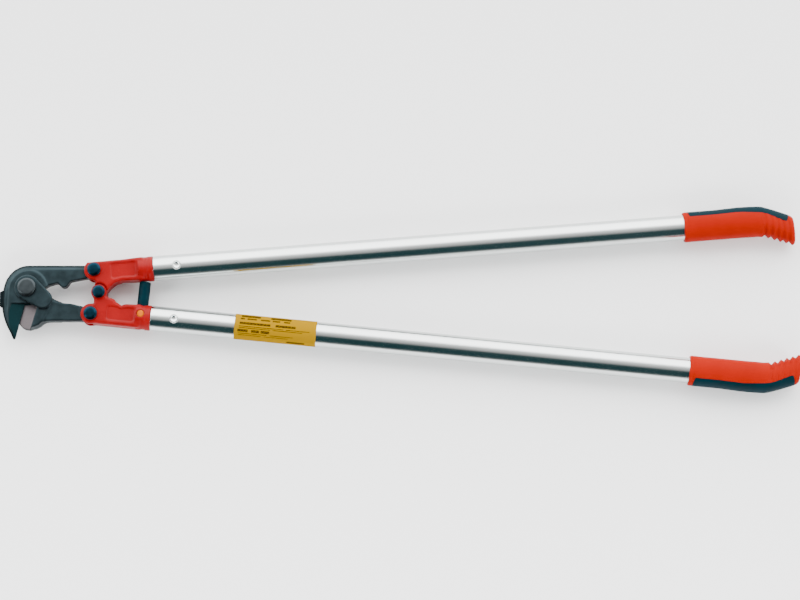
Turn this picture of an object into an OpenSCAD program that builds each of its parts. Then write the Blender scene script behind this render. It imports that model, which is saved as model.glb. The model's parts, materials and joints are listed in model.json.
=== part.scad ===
// Two-handed shear cutter for bar and mesh: a hooked jaw closes over a lower blade,
// driven by two toggle arms that hinge on each other, on long tubular handles.
// Drawn lying flat and closed. X runs from the jaws to the grips, Z is up, and the
// origin is on the main pivot's axis at the surface that the tool lies on.

/* [Linkage] */
// Distance from the main pivot to each toggle pin
jaw_reach = 82; // [80:0.5:84]
// Distance from the centre hinge to each toggle pin
toggle_len = 27.5; // [26.5:0.1:28]
// Angle at the centre hinge between the jaw line and each toggle, closed
toggle_half_angle = 73.7; // [72:0.1:75]
// Turn of the whole linkage about the main pivot
linkage_turn = -3.6; // [-4.5:0.1:-3]
// Diameter of the three toggle pins
toggle_pin_d = 8; // [7:0.5:9]
// Diameter of the main pivot bolt's shank
main_pin_d = 12; // [10:0.5:14]
// Free play each way that the hidden hole in the hook jaw's tail gives its pin
open_pivot_play = 1.7; // [1.6:0.1:2.2]

/* [Jaws] */
// Radius of the jaws' round eyes at the main pivot
eye_r = 19.7; // [19:0.1:20.2]
// Thickness of the hook jaw's head, and of the blade under it
jaw_layer = 7.9; // [7:0.1:8.4]
// Thickness of the jaws' tails
tail_t = 12.8; // [11:0.2:13.2]
// Gap between the two shearing faces
shear_gap = 0.2; // [0.1:0.05:0.3]
// Thickness of the strap over the eyes
strap_t = 4; // [3:0.5:5]

/* [Arms] */
// Thickness of the two forged arms
arm_t = 24; // [22:1:26]
// Height of the slot that takes a jaw's tail
slot_h = 13.4; // [13:0.1:14.5]
// Radius of the lower arm's ears at the centre hinge
ear_r = 9.1; // [8.5:0.1:9.5]

/* [Handles] */
// Outside diameter of the tubes
tube_d = 30; // [28:1:32]
// Wall of the tubes
tube_wall = 2; // [1.5:0.5:3]
// Tilt of the upper handle
upper_tilt = 4.52; // [4:0.02:5]
// Tilt of the lower handle
lower_tilt = -5.61; // [-6:0.01:-5]
// Length of each tube, from the arm's collar to its end in the grip
tube_len = 726; // [500:1:760]
// Diameter of the grips
grip_d = 35; // [33:1:36]
// Length of the grips
grip_len = 131; // [120:1:140]
// Distance along the upper tube at which its grip starts
upper_grip_start = 633; // [420:0.1:660]
// Distance along the lower tube at which its grip starts
lower_grip_start = 640; // [420:0.1:660]

/* [Label and buffer] */
// Distance along the lower tube at which the label starts
label_start = 100; // [40:1:300]
// Length of the label
label_len = 97; // [60:1:150]
// Diameter of the rubber buffer between the arms
buffer_d = 13.6; // [12:0.1:15]

/* [Hidden] */
$fn = 64;

STEEL = "#4f5a5c";
PIVOT_STEEL = "#7c8385";
BLACK_STEEL = "#0d2b30";
ARM_RED = "#c5352c";
TUBE_METAL = "#cfd6d4";
GRIP_RED = "#dd4223";
SOFT_BLACK = "#08272c";
LABEL_YELLOW = "#e3b322";
AMBER = "#ffb347";

mid_z = grip_d / 2;              // the plane that both handles' axes lie in
run_gap = 0.3;                   // space between pieces that move past each other
bore_gap = 0.05;                 // running clearance round a pin

// The closed linkage is a kite: main pivot, two toggle pins and the centre hinge
jaw_half_angle = asin(toggle_len * sin(toggle_half_angle) / jaw_reach);
hinge_reach = jaw_reach * cos(jaw_half_angle) + toggle_len * cos(toggle_half_angle);
upper_toggle = polar(jaw_reach, linkage_turn + jaw_half_angle);
lower_toggle = polar(jaw_reach, linkage_turn - jaw_half_angle);
centre_hinge = polar(hinge_reach, linkage_turn);

// Each handle's axis starts at the face of its arm's collar
upper_start = [149.2, 24.4];
lower_start = [146.9, -35.3];

arm_z0 = mid_z - arm_t / 2;
arm_z1 = mid_z + arm_t / 2;
slot_z0 = mid_z - slot_h / 2;
tail_z0 = mid_z - tail_t / 2;
blade_z1 = mid_z - shear_gap / 2;
blade_z0 = blade_z1 - jaw_layer;
hook_z0 = mid_z + shear_gap / 2;
hook_z1 = hook_z0 + jaw_layer;
strap_z0 = hook_z1 + 0.2;
strap_z1 = strap_z0 + strap_t;

main_r = main_pin_d / 2;
main_head_r = 10.7;
main_head_h = 5.3;
main_nut_af = 19;
washer_t = 1;
toggle_r = toggle_pin_d / 2;
toggle_head_r = 8;
hinge_head_r = 7.5;
toggle_head_h = 5;
toggle_washer_t = 1.2;
toggle_nut_t = 3.8;
toggle_nut_af = 13;
boss_r = 12.2;
tail_r = 8.8;

edge_top = [-3.5, -19.6];        // upper end of the hook's straight cutting edge
edge_tip = [-13.9, -60.3];       // its lower end, at the point
blade_face_top = [10.6, -23.7];  // right-hand border of the blade's ground face
blade_face_foot = [2.8, -50.6];
blade_overlap = 1.2;             // how far the blade reaches in under the hook
shoulder_pin = [18.7, -14.1];    // dowel that keys the strap to the blade jaw
dowel_r = 3;
dowel_z0 = 18;
dowel_z1 = strap_z1 - 1.2;

buffer_foot = [136.6, -18.8];    // where the buffer leaves the lower arm
buffer_pin_at = [134.9, -31.6];
spigot_len = 45;
bend_at = 88;                    // distance along a grip at which it starts to bend inwards
palm_swell = 1.3;
tube_pin_at = 28;
tube_pin_r = 3.5;
blade_swing = 44.4;              // turn of the blade jaw in the lower arm's fork, fully open

// ---- small helpers ----
function polar(r, a) = [r * cos(a), r * sin(a)];
function arc(c, r, a0, a1, n = 16) =
    [for (i = [0 : n]) c + polar(r, a0 + (a1 - a0) * i / n)];

// A straight prism between two heights, from the 2-D children
module layer(z0, z1) {
    translate([0, 0, z0]) linear_extrude(z1 - z0) children();
}

// A vertical pin or bore at a point
module post(at, r, z0, z1) {
    translate([at[0], at[1], z0]) cylinder(r = r, h = z1 - z0);
}

// Place children in a handle's own frame: x along the tube, y outwards on the upper side
module along(start, tilt) {
    translate([start[0], start[1], mid_z]) rotate([0, 0, tilt]) children();
}

// A rod or bore lying along the handle's x axis
module lying(r, x0, x1) {
    translate([x0, 0, 0]) rotate([0, 90, 0]) cylinder(r = r, h = x1 - x0);
}

// A round-headed bolt standing on z1, with a broken edge on the head
module bolt(at, shank_r, head_r, head_h, z0, z1) {
    break_h = 0.9;
    post(at, shank_r, z0, z1 + 0.5);
    post(at, head_r, z1, z1 + head_h - break_h);
    translate([at[0], at[1], z1 + head_h - break_h])
        cylinder(r1 = head_r, r2 = head_r - break_h, h = break_h);
}

// A hexagon nut with a plain bore
module nut(at, af, bore_r, z0, z1) {
    difference() {
        translate([at[0], at[1], z0]) cylinder(r = af / 2 / cos(30), h = z1 - z0, $fn = 6);
        post(at, bore_r, z0 - 1, z1 + 1);
    }
}

module washer(at, r, bore_r, z0, z1) {
    difference() {
        post(at, r, z0, z1);
        post(at, bore_r, z0 - 1, z1 + 1);
    }
}

// ---- jaws ----
// The hook's head: round back, long spine, straight cutting edge down to the point
module hook_head_outline() {
    polygon(concat(
        [[30, 27.7]],
        arc([1, -1], 28.7, 90, 148, 14),
        arc([41, -15], 71.5, 159, 211, 14),
        [[-15.6, -61.4], edge_tip + [-0.6, -0.5], edge_tip, edge_top],
        arc([0, 0], eye_r, 262, 358, 16),
        [[25.4, 3.4], [30, 5.2]]
    ));
}

// The hook jaw's tail, with the stop bump on its inner edge
module hook_tail_outline() {
    polygon(concat(
        [[20, 27.7], [20, 1.5], [25.4, 3.4]],
        arc([35, -4.5], 10.4, 112, 84, 4),
        arc([43, 5.6], 4.9, 215, 325, 10),
        [[51, 8.2], [61, 10.2], [75.4, 12.6]],
        arc(upper_toggle, tail_r, -110, 84, 16),
        [[78, 27.7]]
    ));
}

// The hollow ground into the hook's face beside the cutting edge
module hook_hollow_outline() {
    polygon([[-19, -18.3], edge_top + [-1, 1.2], edge_tip + [-1.2, 3], [-17, -55], [-19.8, -44]]);
}

module hook_jaw() {
    color(STEEL) difference() {
        union() {
            layer(hook_z0, hook_z1) hook_head_outline();
            layer(tail_z0, tail_z0 + tail_t) difference() {
                hook_tail_outline();
                circle(r = eye_r + 1);
            }
            layer(hook_z0, tail_z0 + tail_t) hook_tail_outline();
            // Forged pad on the spine, reaching down beside the blade's layer
            layer(hook_z0 - 4, hook_z1 - 1.5)
                polygon([[-33.2, -4.5], [-33.2, -21.5], [-29.2, -23.5], [-28.4, -2.5]]);
        }
        post([0, 0], main_r + bore_gap, 0, 40);
        // The open pivot: a short upright slot round the upper toggle pin
        for (side = [-1, 1])
            post(upper_toggle + [0, side * open_pivot_play], toggle_r + run_gap, 0, 40);
        translate([upper_toggle[0] - toggle_r - run_gap, upper_toggle[1] - open_pivot_play, 0])
            cube([2 * (toggle_r + run_gap), 2 * open_pivot_play, 40]);
        layer(hook_z1 - 1.5, hook_z1 + 1) hook_hollow_outline();
    }
}

// The blade jaw's lower layer: round eye, cutting edge under the hook, round nose
module blade_layer_outline() {
    edge_dir = (edge_tip - edge_top) / norm(edge_tip - edge_top);
    edge_side = [edge_dir[1], -edge_dir[0]] * blade_overlap;
    polygon(concat(
        [edge_top + edge_side, edge_top + edge_side + edge_dir * 22.6],
        arc([1.8, -37], 12.3, 200, 296, 14),
        [[10.2, -47.5]],
        arc([27.5, -55.1], 15.75, 140, 95, 8),
        [[40, -39.4], [40, -15.9], [32.9, -13.2], [27, -9.8], [19.3, -6.3]],
        [[4, -19]]
    ));
}

// The blade jaw's full-height body, to the right of the ground face
module blade_body_outline() {
    polygon(concat(
        [blade_face_top, blade_face_foot],
        arc([1.8, -37], 12.3, 280, 296, 4),
        [[10.2, -47.5]],
        arc([27.5, -55.1], 15.75, 140, 95, 8),
        [[21, -39], [28.1, -25.2], [30.5, -17.9], [29.6, -11.2], [25.5, -9], [19.3, -6.3]],
        [[12, -16.2]]
    ));
}

module blade_tail_outline() {
    polygon(concat(
        [[20, -39.4], [20, -16], [27, -9.8], [32.9, -13.2], [38.9, -15.6], [50.7, -18.4]],
        [[62.6, -21.4], [71, -23.8]],
        arc(lower_toggle, tail_r, 100, -80, 16),
        [[74, -39.4]]
    ));
}

module blade_jaw() {
    color(STEEL) difference() {
        union() {
            post([0, 0], eye_r + 0.3, blade_z0, blade_z1);
            layer(blade_z0, blade_z1) blade_layer_outline();
            layer(blade_z1, strap_z0) difference() {
                blade_body_outline();
                circle(r = eye_r + run_gap + 0.2);
            }
            layer(tail_z0, tail_z0 + tail_t) difference() {
                blade_tail_outline();
                circle(r = eye_r + run_gap + 0.2);
            }
        }
        post([0, 0], main_r + bore_gap, 0, 40);
        post(shoulder_pin, dowel_r + bore_gap, dowel_z0, 40);
        post(lower_toggle, toggle_r + bore_gap, 0, 40);
    }
}

// Teardrop cover plate over the eyes, keyed to the blade jaw by a dowel
module pivot_strap() {
    color(STEEL) difference() {
        layer(strap_z0, strap_z1) hull() {
            circle(r = 15);
            translate(shoulder_pin) circle(r = 11.4);
        }
        post([0, 0], main_r + bore_gap, 0, 40);
        post(shoulder_pin, dowel_r + bore_gap, 0, dowel_z1 + 0.2);
    }
}

// The dowel sits in blind bores, so that it can't work its way out
module strap_dowel() {
    color(PIVOT_STEEL) post(shoulder_pin, dowel_r, dowel_z0, dowel_z1);
}

module main_pivot_bolt() {
    color(PIVOT_STEEL) bolt([0, 0], main_r, main_head_r, main_head_h, 0, strap_z1);
}

module pivot_washer() {
    color(PIVOT_STEEL) washer([0, 0], 12, main_r + bore_gap, blade_z0 - washer_t, blade_z0);
}

module pivot_nut() {
    color(PIVOT_STEEL) nut([0, 0], main_nut_af, main_r + bore_gap, 0, blade_z0 - washer_t);
}

// ---- arms ----
module upper_arm_outline() {
    polygon(concat(
        arc(upper_toggle, boss_r, 133, 254, 14),
        [[79.5, 8.6], [81, 6.4], [80.6, 4]],
        arc(centre_hinge, ear_r + run_gap, 118, 30, 12),
        [[94.6, -4.2], [98.6, 1.2], [104.6, 6.2]],
        arc([114.5, -2.4], 11.2, 118, 92, 4),
        [[142, 9.6], [142, 37.4], [110.6, 33.6]]
    ));
}

module lower_arm_outline() {
    polygon(concat(
        [[77.9, -11.6], [79.4, -15], [79, -18.6]],
        arc(lower_toggle, boss_r, 80, 262, 18),
        [[80.7, -42.6], [108, -45.4], [141.8, -48.8], [141.8, -21]],
        arc([118.5, -31.2], 11.4, 92, 122, 4),
        [[106.2, -17.6], [103, -13.6], [97.6, -12]],
        arc(centre_hinge, ear_r, -22, 211, 22)
    ));
}

// The parts of an arm that are round: collar, and the spigot that the tube slides on
module arm_collar() {
    lying(tube_d / 2, -8, 0);
    translate([-14, 0, 0]) rotate([0, 90, 0])
        cylinder(r1 = 12.2, r2 = tube_d / 2, h = 6);
    lying(tube_d / 2 - tube_wall - bore_gap, -1, spigot_len);
}

module arm_recess(x0, x1, y0, y1) {
    for (z = [arm_t / 2 - 1.2, -arm_t / 2 - 1])
        translate([x0, y0, z]) cube([x1 - x0, y1 - y0, 2.2]);
}

module upper_arm() {
    color(ARM_RED) difference() {
        union() {
            layer(arm_z0, arm_z1) upper_arm_outline();
            // Tongue that goes between the lower arm's ears
            layer(tail_z0, tail_z0 + tail_t) union() {
                translate(centre_hinge) circle(r = ear_r);
                polygon([[79.5, 2], [81, 12], [97, 12], [95, -3], centre_hinge]);
            }
            along(upper_start, upper_tilt) arm_collar();
        }
        // Fork that straddles the hook jaw's tail
        layer(slot_z0, slot_z0 + slot_h) union() {
            translate(upper_toggle) circle(r = tail_r + 0.6 + open_pivot_play);
            translate(upper_toggle) rotate(125) translate([0, -30]) square([30, 55]);
            translate(upper_toggle + [-30, -13]) square([30, 28]);
        }
        post(upper_toggle, toggle_r + bore_gap, 0, 40);
        post(centre_hinge, toggle_r + bore_gap, 0, 40);
        along(upper_start, upper_tilt) {
            arm_recess(-47, -19, -9, 7.5);
            translate([tube_pin_at, 0, -20]) cylinder(r = tube_pin_r + bore_gap, h = 40);
        }
    }
}

module lower_arm() {
    color(ARM_RED) difference() {
        union() {
            layer(arm_z0, arm_z1) lower_arm_outline();
            along(lower_start, lower_tilt) arm_collar();
        }
        // Room between the ears for the upper arm's tongue
        post(centre_hinge, ear_r + 0.6, slot_z0, slot_z0 + slot_h);
        layer(slot_z0, slot_z0 + slot_h) union() {
            translate(centre_hinge + [-12, -2]) square([24, 14]);
            translate(lower_toggle) circle(r = tail_r + 0.8);
            translate(lower_toggle + [-30, -20]) square([30, 32]);
            // The tail swings down in here as the jaws open
            translate(lower_toggle) rotate(blade_swing) translate([-30, -9.6]) square([30, 9.6]);
        }
        post(lower_toggle, toggle_r + bore_gap, 0, 40);
        post(centre_hinge, toggle_r + bore_gap, 0, 40);
        post(buffer_pin_at, 2.5 + bore_gap, -1, 40);
        post(buffer_pin_at, 4.4 + bore_gap, arm_z1 - 1.2, 40);
        buffer_room();
        along(lower_start, lower_tilt) {
            arm_recess(-47, -19, -8.5, 8);
            translate([tube_pin_at, 0, -20]) cylinder(r = tube_pin_r + bore_gap, h = 40);
        }
    }
}

// ---- buffer ----
// Children point from the buffer's foot across to the upper arm
module buffer_axis() {
    translate([buffer_foot[0], buffer_foot[1], mid_z])
        rotate([0, 0, lower_tilt]) rotate([-90, 0, 0]) children();
}

module buffer_room() {
    buffer_axis() translate([0, 0, -18]) cylinder(r = buffer_d / 2 + bore_gap, h = 30);
}

module stop_buffer() {
    color(SOFT_BLACK) difference() {
        buffer_axis() translate([0, 0, -18]) cylinder(r = buffer_d / 2, h = 45.2);
        post(buffer_pin_at, 2.5 + bore_gap, 0, 40);
    }
}

module buffer_pin() {
    color(AMBER) union() {
        post(buffer_pin_at, 2.5, arm_z0, arm_z1);
        post(buffer_pin_at, 4.4, arm_z1 - 1.2, arm_z1 + 0.8);
    }
}

// ---- handles ----
module tube() {
    color(TUBE_METAL) difference() {
        lying(tube_d / 2, 0.05, tube_len);
        lying(tube_d / 2 - tube_wall, -1, tube_len + 1);
        translate([tube_pin_at, 0, -20]) cylinder(r = tube_pin_r + bore_gap, h = 40);
    }
}

// Swaged pin through tube and spigot, dished at both ends
module tube_pin() {
    color(TUBE_METAL) difference() {
        translate([tube_pin_at, 0, -tube_d / 2 + 0.4]) cylinder(r = tube_pin_r, h = tube_d - 0.8);
        for (side = [-1, 1])
            translate([tube_pin_at, 0, side * (tube_d / 2 + 1)]) sphere(r = 3.2);
    }
}

// Outer form of a grip: round sleeve that bends inwards to a ribbed end. The sleeve's
// inner side is towards -y here, and the grip starts at x = 0
module grip_form() {
    r = grip_d / 2;
    lying(r, 0, bend_at);
    // Palm swell on the outer side
    translate([0, palm_swell, 0]) lying(r, bend_at - 34, bend_at);
    hull() {
        lying(r, bend_at - 2, bend_at);
        translate([0, palm_swell, 0]) lying(r, bend_at - 2, bend_at);
        grip_slice(116, -9.3, 16.8);
    }
    hull() {
        grip_slice(116, -9.3, 16.8);
        grip_slice(grip_len - 2, -12, 12.6);
        translate([grip_len - 10, -21, 0]) sphere(r = 9.7, $fn = 32);
    }
    for (i = [0 : 4])
        translate([98.5 + 6.4 * i, -17.6 - 2.4 * i, -10]) cylinder(r = 3.1, h = 20);
}

// A round slice of the grip at x, with its centre moved across to y
module grip_slice(x, y, r) {
    translate([x, y, 0]) rotate([0, 90, 0]) cylinder(r = r, h = 2, $fn = 32);
}

// The outward part of the grip, which is a softer second moulding
module pad_zone() {
    translate([0, 0, -20]) linear_extrude(40)
        polygon([[6, 40], [6, 9.4], [60, 9.4], [90, 8.8], [106, 3], [118, -1], [124, -0.6],
                 [127, 3], [127, 40]]);
}

module grip() {
    color(GRIP_RED) difference() {
        grip_form();
        difference() {
            pad_zone();
            lying(tube_d / 2 + 1.2, -1, bend_at + 6);
        }
        lying(tube_d / 2 + bore_gap, -1, tube_len - upper_grip_start);
    }
}

module grip_pad() {
    color(SOFT_BLACK) difference() {
        intersection() {
            grip_form();
            pad_zone();
        }
        lying(tube_d / 2 + 1.25, -1, bend_at + 6);
    }
}

module upper_grip_place() {
    along(upper_start, upper_tilt) translate([upper_grip_start, 0, 0]) children();
}

module lower_grip_place() {
    along(lower_start, lower_tilt) translate([lower_grip_start, 0, 0])
        rotate([180, 0, 0]) children();
}

module upper_tube() { along(upper_start, upper_tilt) tube(); }
module lower_tube() { along(lower_start, lower_tilt) tube(); }
module upper_tube_pin() { along(upper_start, upper_tilt) tube_pin(); }
module lower_tube_pin() { along(lower_start, lower_tilt) tube_pin(); }
module upper_grip() { upper_grip_place() grip(); }
module lower_grip() { lower_grip_place() grip(); }
module upper_grip_pad() { upper_grip_place() grip_pad(); }
module lower_grip_pad() { lower_grip_place() grip_pad(); }

// Thin label wrapped over the top of the lower tube
module rating_label() {
    color(LABEL_YELLOW) along(lower_start, lower_tilt) difference() {
        lying(tube_d / 2 + 0.2, label_start, label_start + label_len);
        lying(tube_d / 2 + 0.01, label_start - 1, label_start + label_len + 1);
        translate([label_start - 1, -20, -24]) cube([label_len + 2, 40, 20]);
    }
}

// ---- toggle and hinge fasteners ----
module toggle_bolt(at, head_r) {
    color(BLACK_STEEL)
        bolt(at, toggle_r, head_r, toggle_head_h, arm_z0 - toggle_washer_t - toggle_nut_t, arm_z1);
}

module toggle_washer(at) {
    color(BLACK_STEEL) washer(at, toggle_head_r, toggle_r + bore_gap, arm_z0 - toggle_washer_t, arm_z0);
}

module toggle_nut(at) {
    color(BLACK_STEEL)
        nut(at, toggle_nut_af, toggle_r + bore_gap,
            arm_z0 - toggle_washer_t - toggle_nut_t, arm_z0 - toggle_washer_t);
}

module upper_toggle_bolt() { toggle_bolt(upper_toggle, toggle_head_r); }
module upper_toggle_washer() { toggle_washer(upper_toggle); }
module upper_toggle_nut() { toggle_nut(upper_toggle); }
module lower_toggle_bolt() { toggle_bolt(lower_toggle, toggle_head_r); }
module lower_toggle_washer() { toggle_washer(lower_toggle); }
module lower_toggle_nut() { toggle_nut(lower_toggle); }
module centre_hinge_bolt() { toggle_bolt(centre_hinge, hinge_head_r); }
module centre_hinge_washer() { toggle_washer(centre_hinge); }
module centre_hinge_nut() { toggle_nut(centre_hinge); }

hook_jaw();
blade_jaw();
pivot_strap();
strap_dowel();
main_pivot_bolt();
pivot_washer();
pivot_nut();
upper_arm();
upper_tube();
upper_tube_pin();
upper_grip();
upper_grip_pad();
upper_toggle_bolt();
upper_toggle_washer();
upper_toggle_nut();
lower_arm();
lower_tube();
lower_tube_pin();
lower_grip();
lower_grip_pad();
lower_toggle_bolt();
lower_toggle_washer();
lower_toggle_nut();
centre_hinge_bolt();
centre_hinge_washer();
centre_hinge_nut();
stop_buffer();
buffer_pin();
rating_label();
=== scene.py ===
"""Long two-handed shear cutter for bar and mesh: its visible pieces, finishes and stage.

Shapes are worked out in millimetres with numpy and written to the meshes in metres, in
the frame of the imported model: X from the jaws to the grips, Z up, the tool lying flat.
"""

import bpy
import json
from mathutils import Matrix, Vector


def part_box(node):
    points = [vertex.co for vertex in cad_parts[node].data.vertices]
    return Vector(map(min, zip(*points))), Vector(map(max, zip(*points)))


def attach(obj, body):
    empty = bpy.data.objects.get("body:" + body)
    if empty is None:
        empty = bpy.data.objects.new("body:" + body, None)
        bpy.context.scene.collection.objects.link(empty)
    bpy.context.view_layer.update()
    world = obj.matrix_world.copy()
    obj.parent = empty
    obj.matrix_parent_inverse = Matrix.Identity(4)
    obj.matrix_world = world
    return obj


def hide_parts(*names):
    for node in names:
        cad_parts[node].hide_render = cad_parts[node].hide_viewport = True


bl_info = {
    "name": "Bar and mesh cutter",
    "version": (1, 0, 0),
    "blender": (4, 5, 0),
    "location": "View3D > Sidebar > Cutter",
    "description": "Builds the visible pieces of a two-handed shear cutter",
    "category": "Add Mesh",
}

import json
import math

import bmesh
import bpy
import numpy as np
from mathutils import Vector

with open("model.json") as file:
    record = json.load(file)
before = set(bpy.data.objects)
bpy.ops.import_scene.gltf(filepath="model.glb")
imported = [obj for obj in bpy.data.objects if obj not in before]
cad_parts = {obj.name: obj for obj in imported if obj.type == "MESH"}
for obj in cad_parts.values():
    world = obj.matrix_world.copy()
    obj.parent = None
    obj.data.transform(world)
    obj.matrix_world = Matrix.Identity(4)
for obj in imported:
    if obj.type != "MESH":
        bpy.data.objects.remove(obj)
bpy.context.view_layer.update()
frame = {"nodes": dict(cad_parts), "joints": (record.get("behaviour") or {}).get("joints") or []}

MM = 0.001

# ---------------------------------------------------------------- places from the frame


def joint_point(name):
    """The joint's axis in plan, in millimetres."""
    joint = next(j for j in frame["joints"] if j["name"] == name)
    return np.array(joint["pos_m"][:2]) / MM


def box_mm(node):
    """Lowest and highest corner of a CAD node, in millimetres."""
    low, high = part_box(node)
    return np.array(low) / MM, np.array(high) / MM


def box_centre(node):
    low, high = box_mm(node)
    return (low + high) / 2


def axis_foot(node):
    """Where an upright node's axis meets the floor, in millimetres."""
    return np.append(box_centre(node)[:2], 0)


def mesh_points(mesh):
    """A mesh's vertices as rows of three, in millimetres."""
    points = np.empty(len(mesh.vertices) * 3)
    mesh.vertices.foreach_get("co", points)
    return points.reshape(-1, 3) / MM


def tube_frame(node):
    """Start of a tube's axis and its direction: the direction is the one along which the
    tube's vertices spread most, and the start is the middle of its lower end ring."""
    points = np.unique(np.round(mesh_points(frame["nodes"][node].data), 4), axis=0)
    middle = (points.min(axis=0) + points.max(axis=0)) / 2
    along = np.linalg.svd(points - points.mean(axis=0), full_matrices=False)[2][0]
    along *= np.sign(along[0])
    along[2] = 0
    along /= np.linalg.norm(along)
    reach = (points - middle) @ along
    return middle + along * reach.min(), along, reach.max() - reach.min()


UP = np.array([0.0, 0.0, 1.0])

MAIN_PIVOT = joint_point("hook_jaw_pivot")
LOWER_TOGGLE = joint_point("blade_jaw_pivot")
CENTRE_HINGE = joint_point("handle_hinge")
UPPER_TOGGLE = box_centre("upper_toggle_bolt")[:2]
MID_Z = float(box_centre("upper_tube")[2])

# Heights. The jaws slide on each other at the middle height, with a small gap, and their
# tails run in the slots of the arms' forks
JAW_GAP = 0.2
TAIL_HALF = 6.4
SLOT_HALF = 6.7
ARM_LOW = float(box_mm("centre_hinge_washer")[1][2])
ARM_HIGH = 2 * MID_Z - ARM_LOW
TAIL_LOW, TAIL_HIGH = MID_Z - TAIL_HALF, MID_Z + TAIL_HALF
HOOK_LOW = MID_Z + JAW_GAP / 2
HEAD_HIGH = float(box_mm("hook_jaw")[1][2])
BLADE_LOW = float(box_mm("blade_jaw")[0][2])
BLADE_HIGH = MID_Z - JAW_GAP / 2
STRAP_LOW, STRAP_HIGH = (float(c[2]) for c in box_mm("pivot_strap"))

# Each handle's axis starts where its tube leaves the arm
UPPER_START, UPPER_ALONG, TUBE_LEN = tube_frame("upper_tube")
LOWER_START, LOWER_ALONG, _ = tube_frame("lower_tube")
TUBE_R = float(box_mm("upper_tube")[1][2] - MID_Z)


# ---------------------------------------------------------------- sizes and colours


class CUTTER_PG_sizes(bpy.types.PropertyGroup):
    """Sizes of the visible details that the CAD model leaves plain."""

    forge_step: bpy.props.FloatProperty(
        name="Forging grid",
        description="Spacing of the grid on which the forgings' surfaces are found",
        default=0.0007, min=0.0004, max=0.002, unit="LENGTH")
    arm_round: bpy.props.FloatProperty(
        name="Arm rounding",
        description="Radius on the outer edges of the forged arms",
        default=0.0032, min=0.001, max=0.006, unit="LENGTH")
    rim_width: bpy.props.FloatProperty(
        name="Jaw rim",
        description="Width of the sloped rim round the hook jaw's back",
        default=0.0052, min=0.002, max=0.008, unit="LENGTH")
    rib_depth: bpy.props.FloatProperty(
        name="Rib depth",
        description="Depth of the ribs on the end of a grip",
        default=0.0030, min=0.001, max=0.004, unit="LENGTH")


class CUTTER_PG_colours(bpy.types.PropertyGroup):
    """Surface colours as sRGB hex values."""

    jaw_hex: bpy.props.StringProperty(
        name="Jaws", description="Phosphated steel of the jaws", default="#222c2f")
    ground_hex: bpy.props.StringProperty(
        name="Ground face", description="Bare ground steel of the blade", default="#686264")
    pivot_hex: bpy.props.StringProperty(
        name="Pivot bolt", description="Zinc phosphated pivot steel", default="#303537")
    enamel_hex: bpy.props.StringProperty(
        name="Arms", description="Red enamel of the arms", default="#790406")
    tube_hex: bpy.props.StringProperty(
        name="Tubes", description="Anodised aluminium of the tubes", default="#ced2d1")
    shell_hex: bpy.props.StringProperty(
        name="Grips", description="Moulded plastic of the grips", default="#8a1001")
    soft_hex: bpy.props.StringProperty(
        name="Soft pads", description="Elastomer of the pads and the buffer",
        default="#001b22")
    oxide_hex: bpy.props.StringProperty(
        name="Bolts", description="Black oxide of the toggle bolts", default="#0f232e")
    zinc_hex: bpy.props.StringProperty(
        name="Tube pins", description="Bright zinc plate of the tubes' pins",
        default="#d8dcdb")
    label_hex: bpy.props.StringProperty(
        name="Label", description="Yellow film of the rating label", default="#876500")
    print_hex: bpy.props.StringProperty(
        name="Label print", description="Dark print on the rating label", default="#1c1403")
    amber_hex: bpy.props.StringProperty(
        name="Buffer pin", description="Amber cap of the buffer's pin", default="#b85d00")


def sizes():
    return bpy.context.scene.cutter_sizes


def colours():
    return bpy.context.scene.cutter_colours


# ---------------------------------------------------------------- materials


def linear(hex_colour):
    """sRGB hex to linear RGBA: below 0.04045 a straight line, above it a 2.4 power."""
    channels = np.array([int(hex_colour[i:i + 2], 16) for i in (1, 3, 5)]) / 255
    low, high = channels / 12.92, ((channels + 0.055) / 1.055) ** 2.4
    return (*np.where(channels <= 0.04045, low, high), 1.0)


def add_node(tree, kind, settings=None, inputs=None, stops=()):
    """One shader node. Inputs are values, or (node, output name) pairs to link from, and
    stops are a colour ramp's (position, grey or RGBA) pairs."""
    made = tree.nodes.new(kind)
    for name, value in (settings or {}).items():
        setattr(made, name, value)
    for name, value in (inputs or {}).items():
        if isinstance(value, tuple) and isinstance(value[0], bpy.types.Node):
            tree.links.new(value[0].outputs[value[1]], made.inputs[name])
        else:
            made.inputs[name].default_value = value
    if stops:
        elements = made.color_ramp.elements
        while len(elements) < len(stops):
            elements.new(0.5)
        for element, (position, value) in zip(elements, stops):
            element.position = position
            element.color = value if isinstance(value, tuple) else (value, value, value, 1)
    return made


def new_material(name, **shader):
    """A material with one Principled shader. Returns it, its tree and the shader."""
    material = bpy.data.materials.new(name)
    material.use_nodes = True
    tree = material.node_tree
    surface = tree.nodes["Principled BSDF"]
    for socket, value in shader.items():
        surface.inputs[socket.replace("_", " ")].default_value = value
    return material, tree, surface


def tinted(colour, share):
    """A linear colour made darker or lighter by a share, and no lighter than white."""
    return tuple(min(1, channel * share) for channel in colour[:3]) + (1,)


def per_metre(size_mm):
    """Scale of a texture whose features are size_mm across on Object coordinates."""
    return 1000 / size_mm


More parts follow.
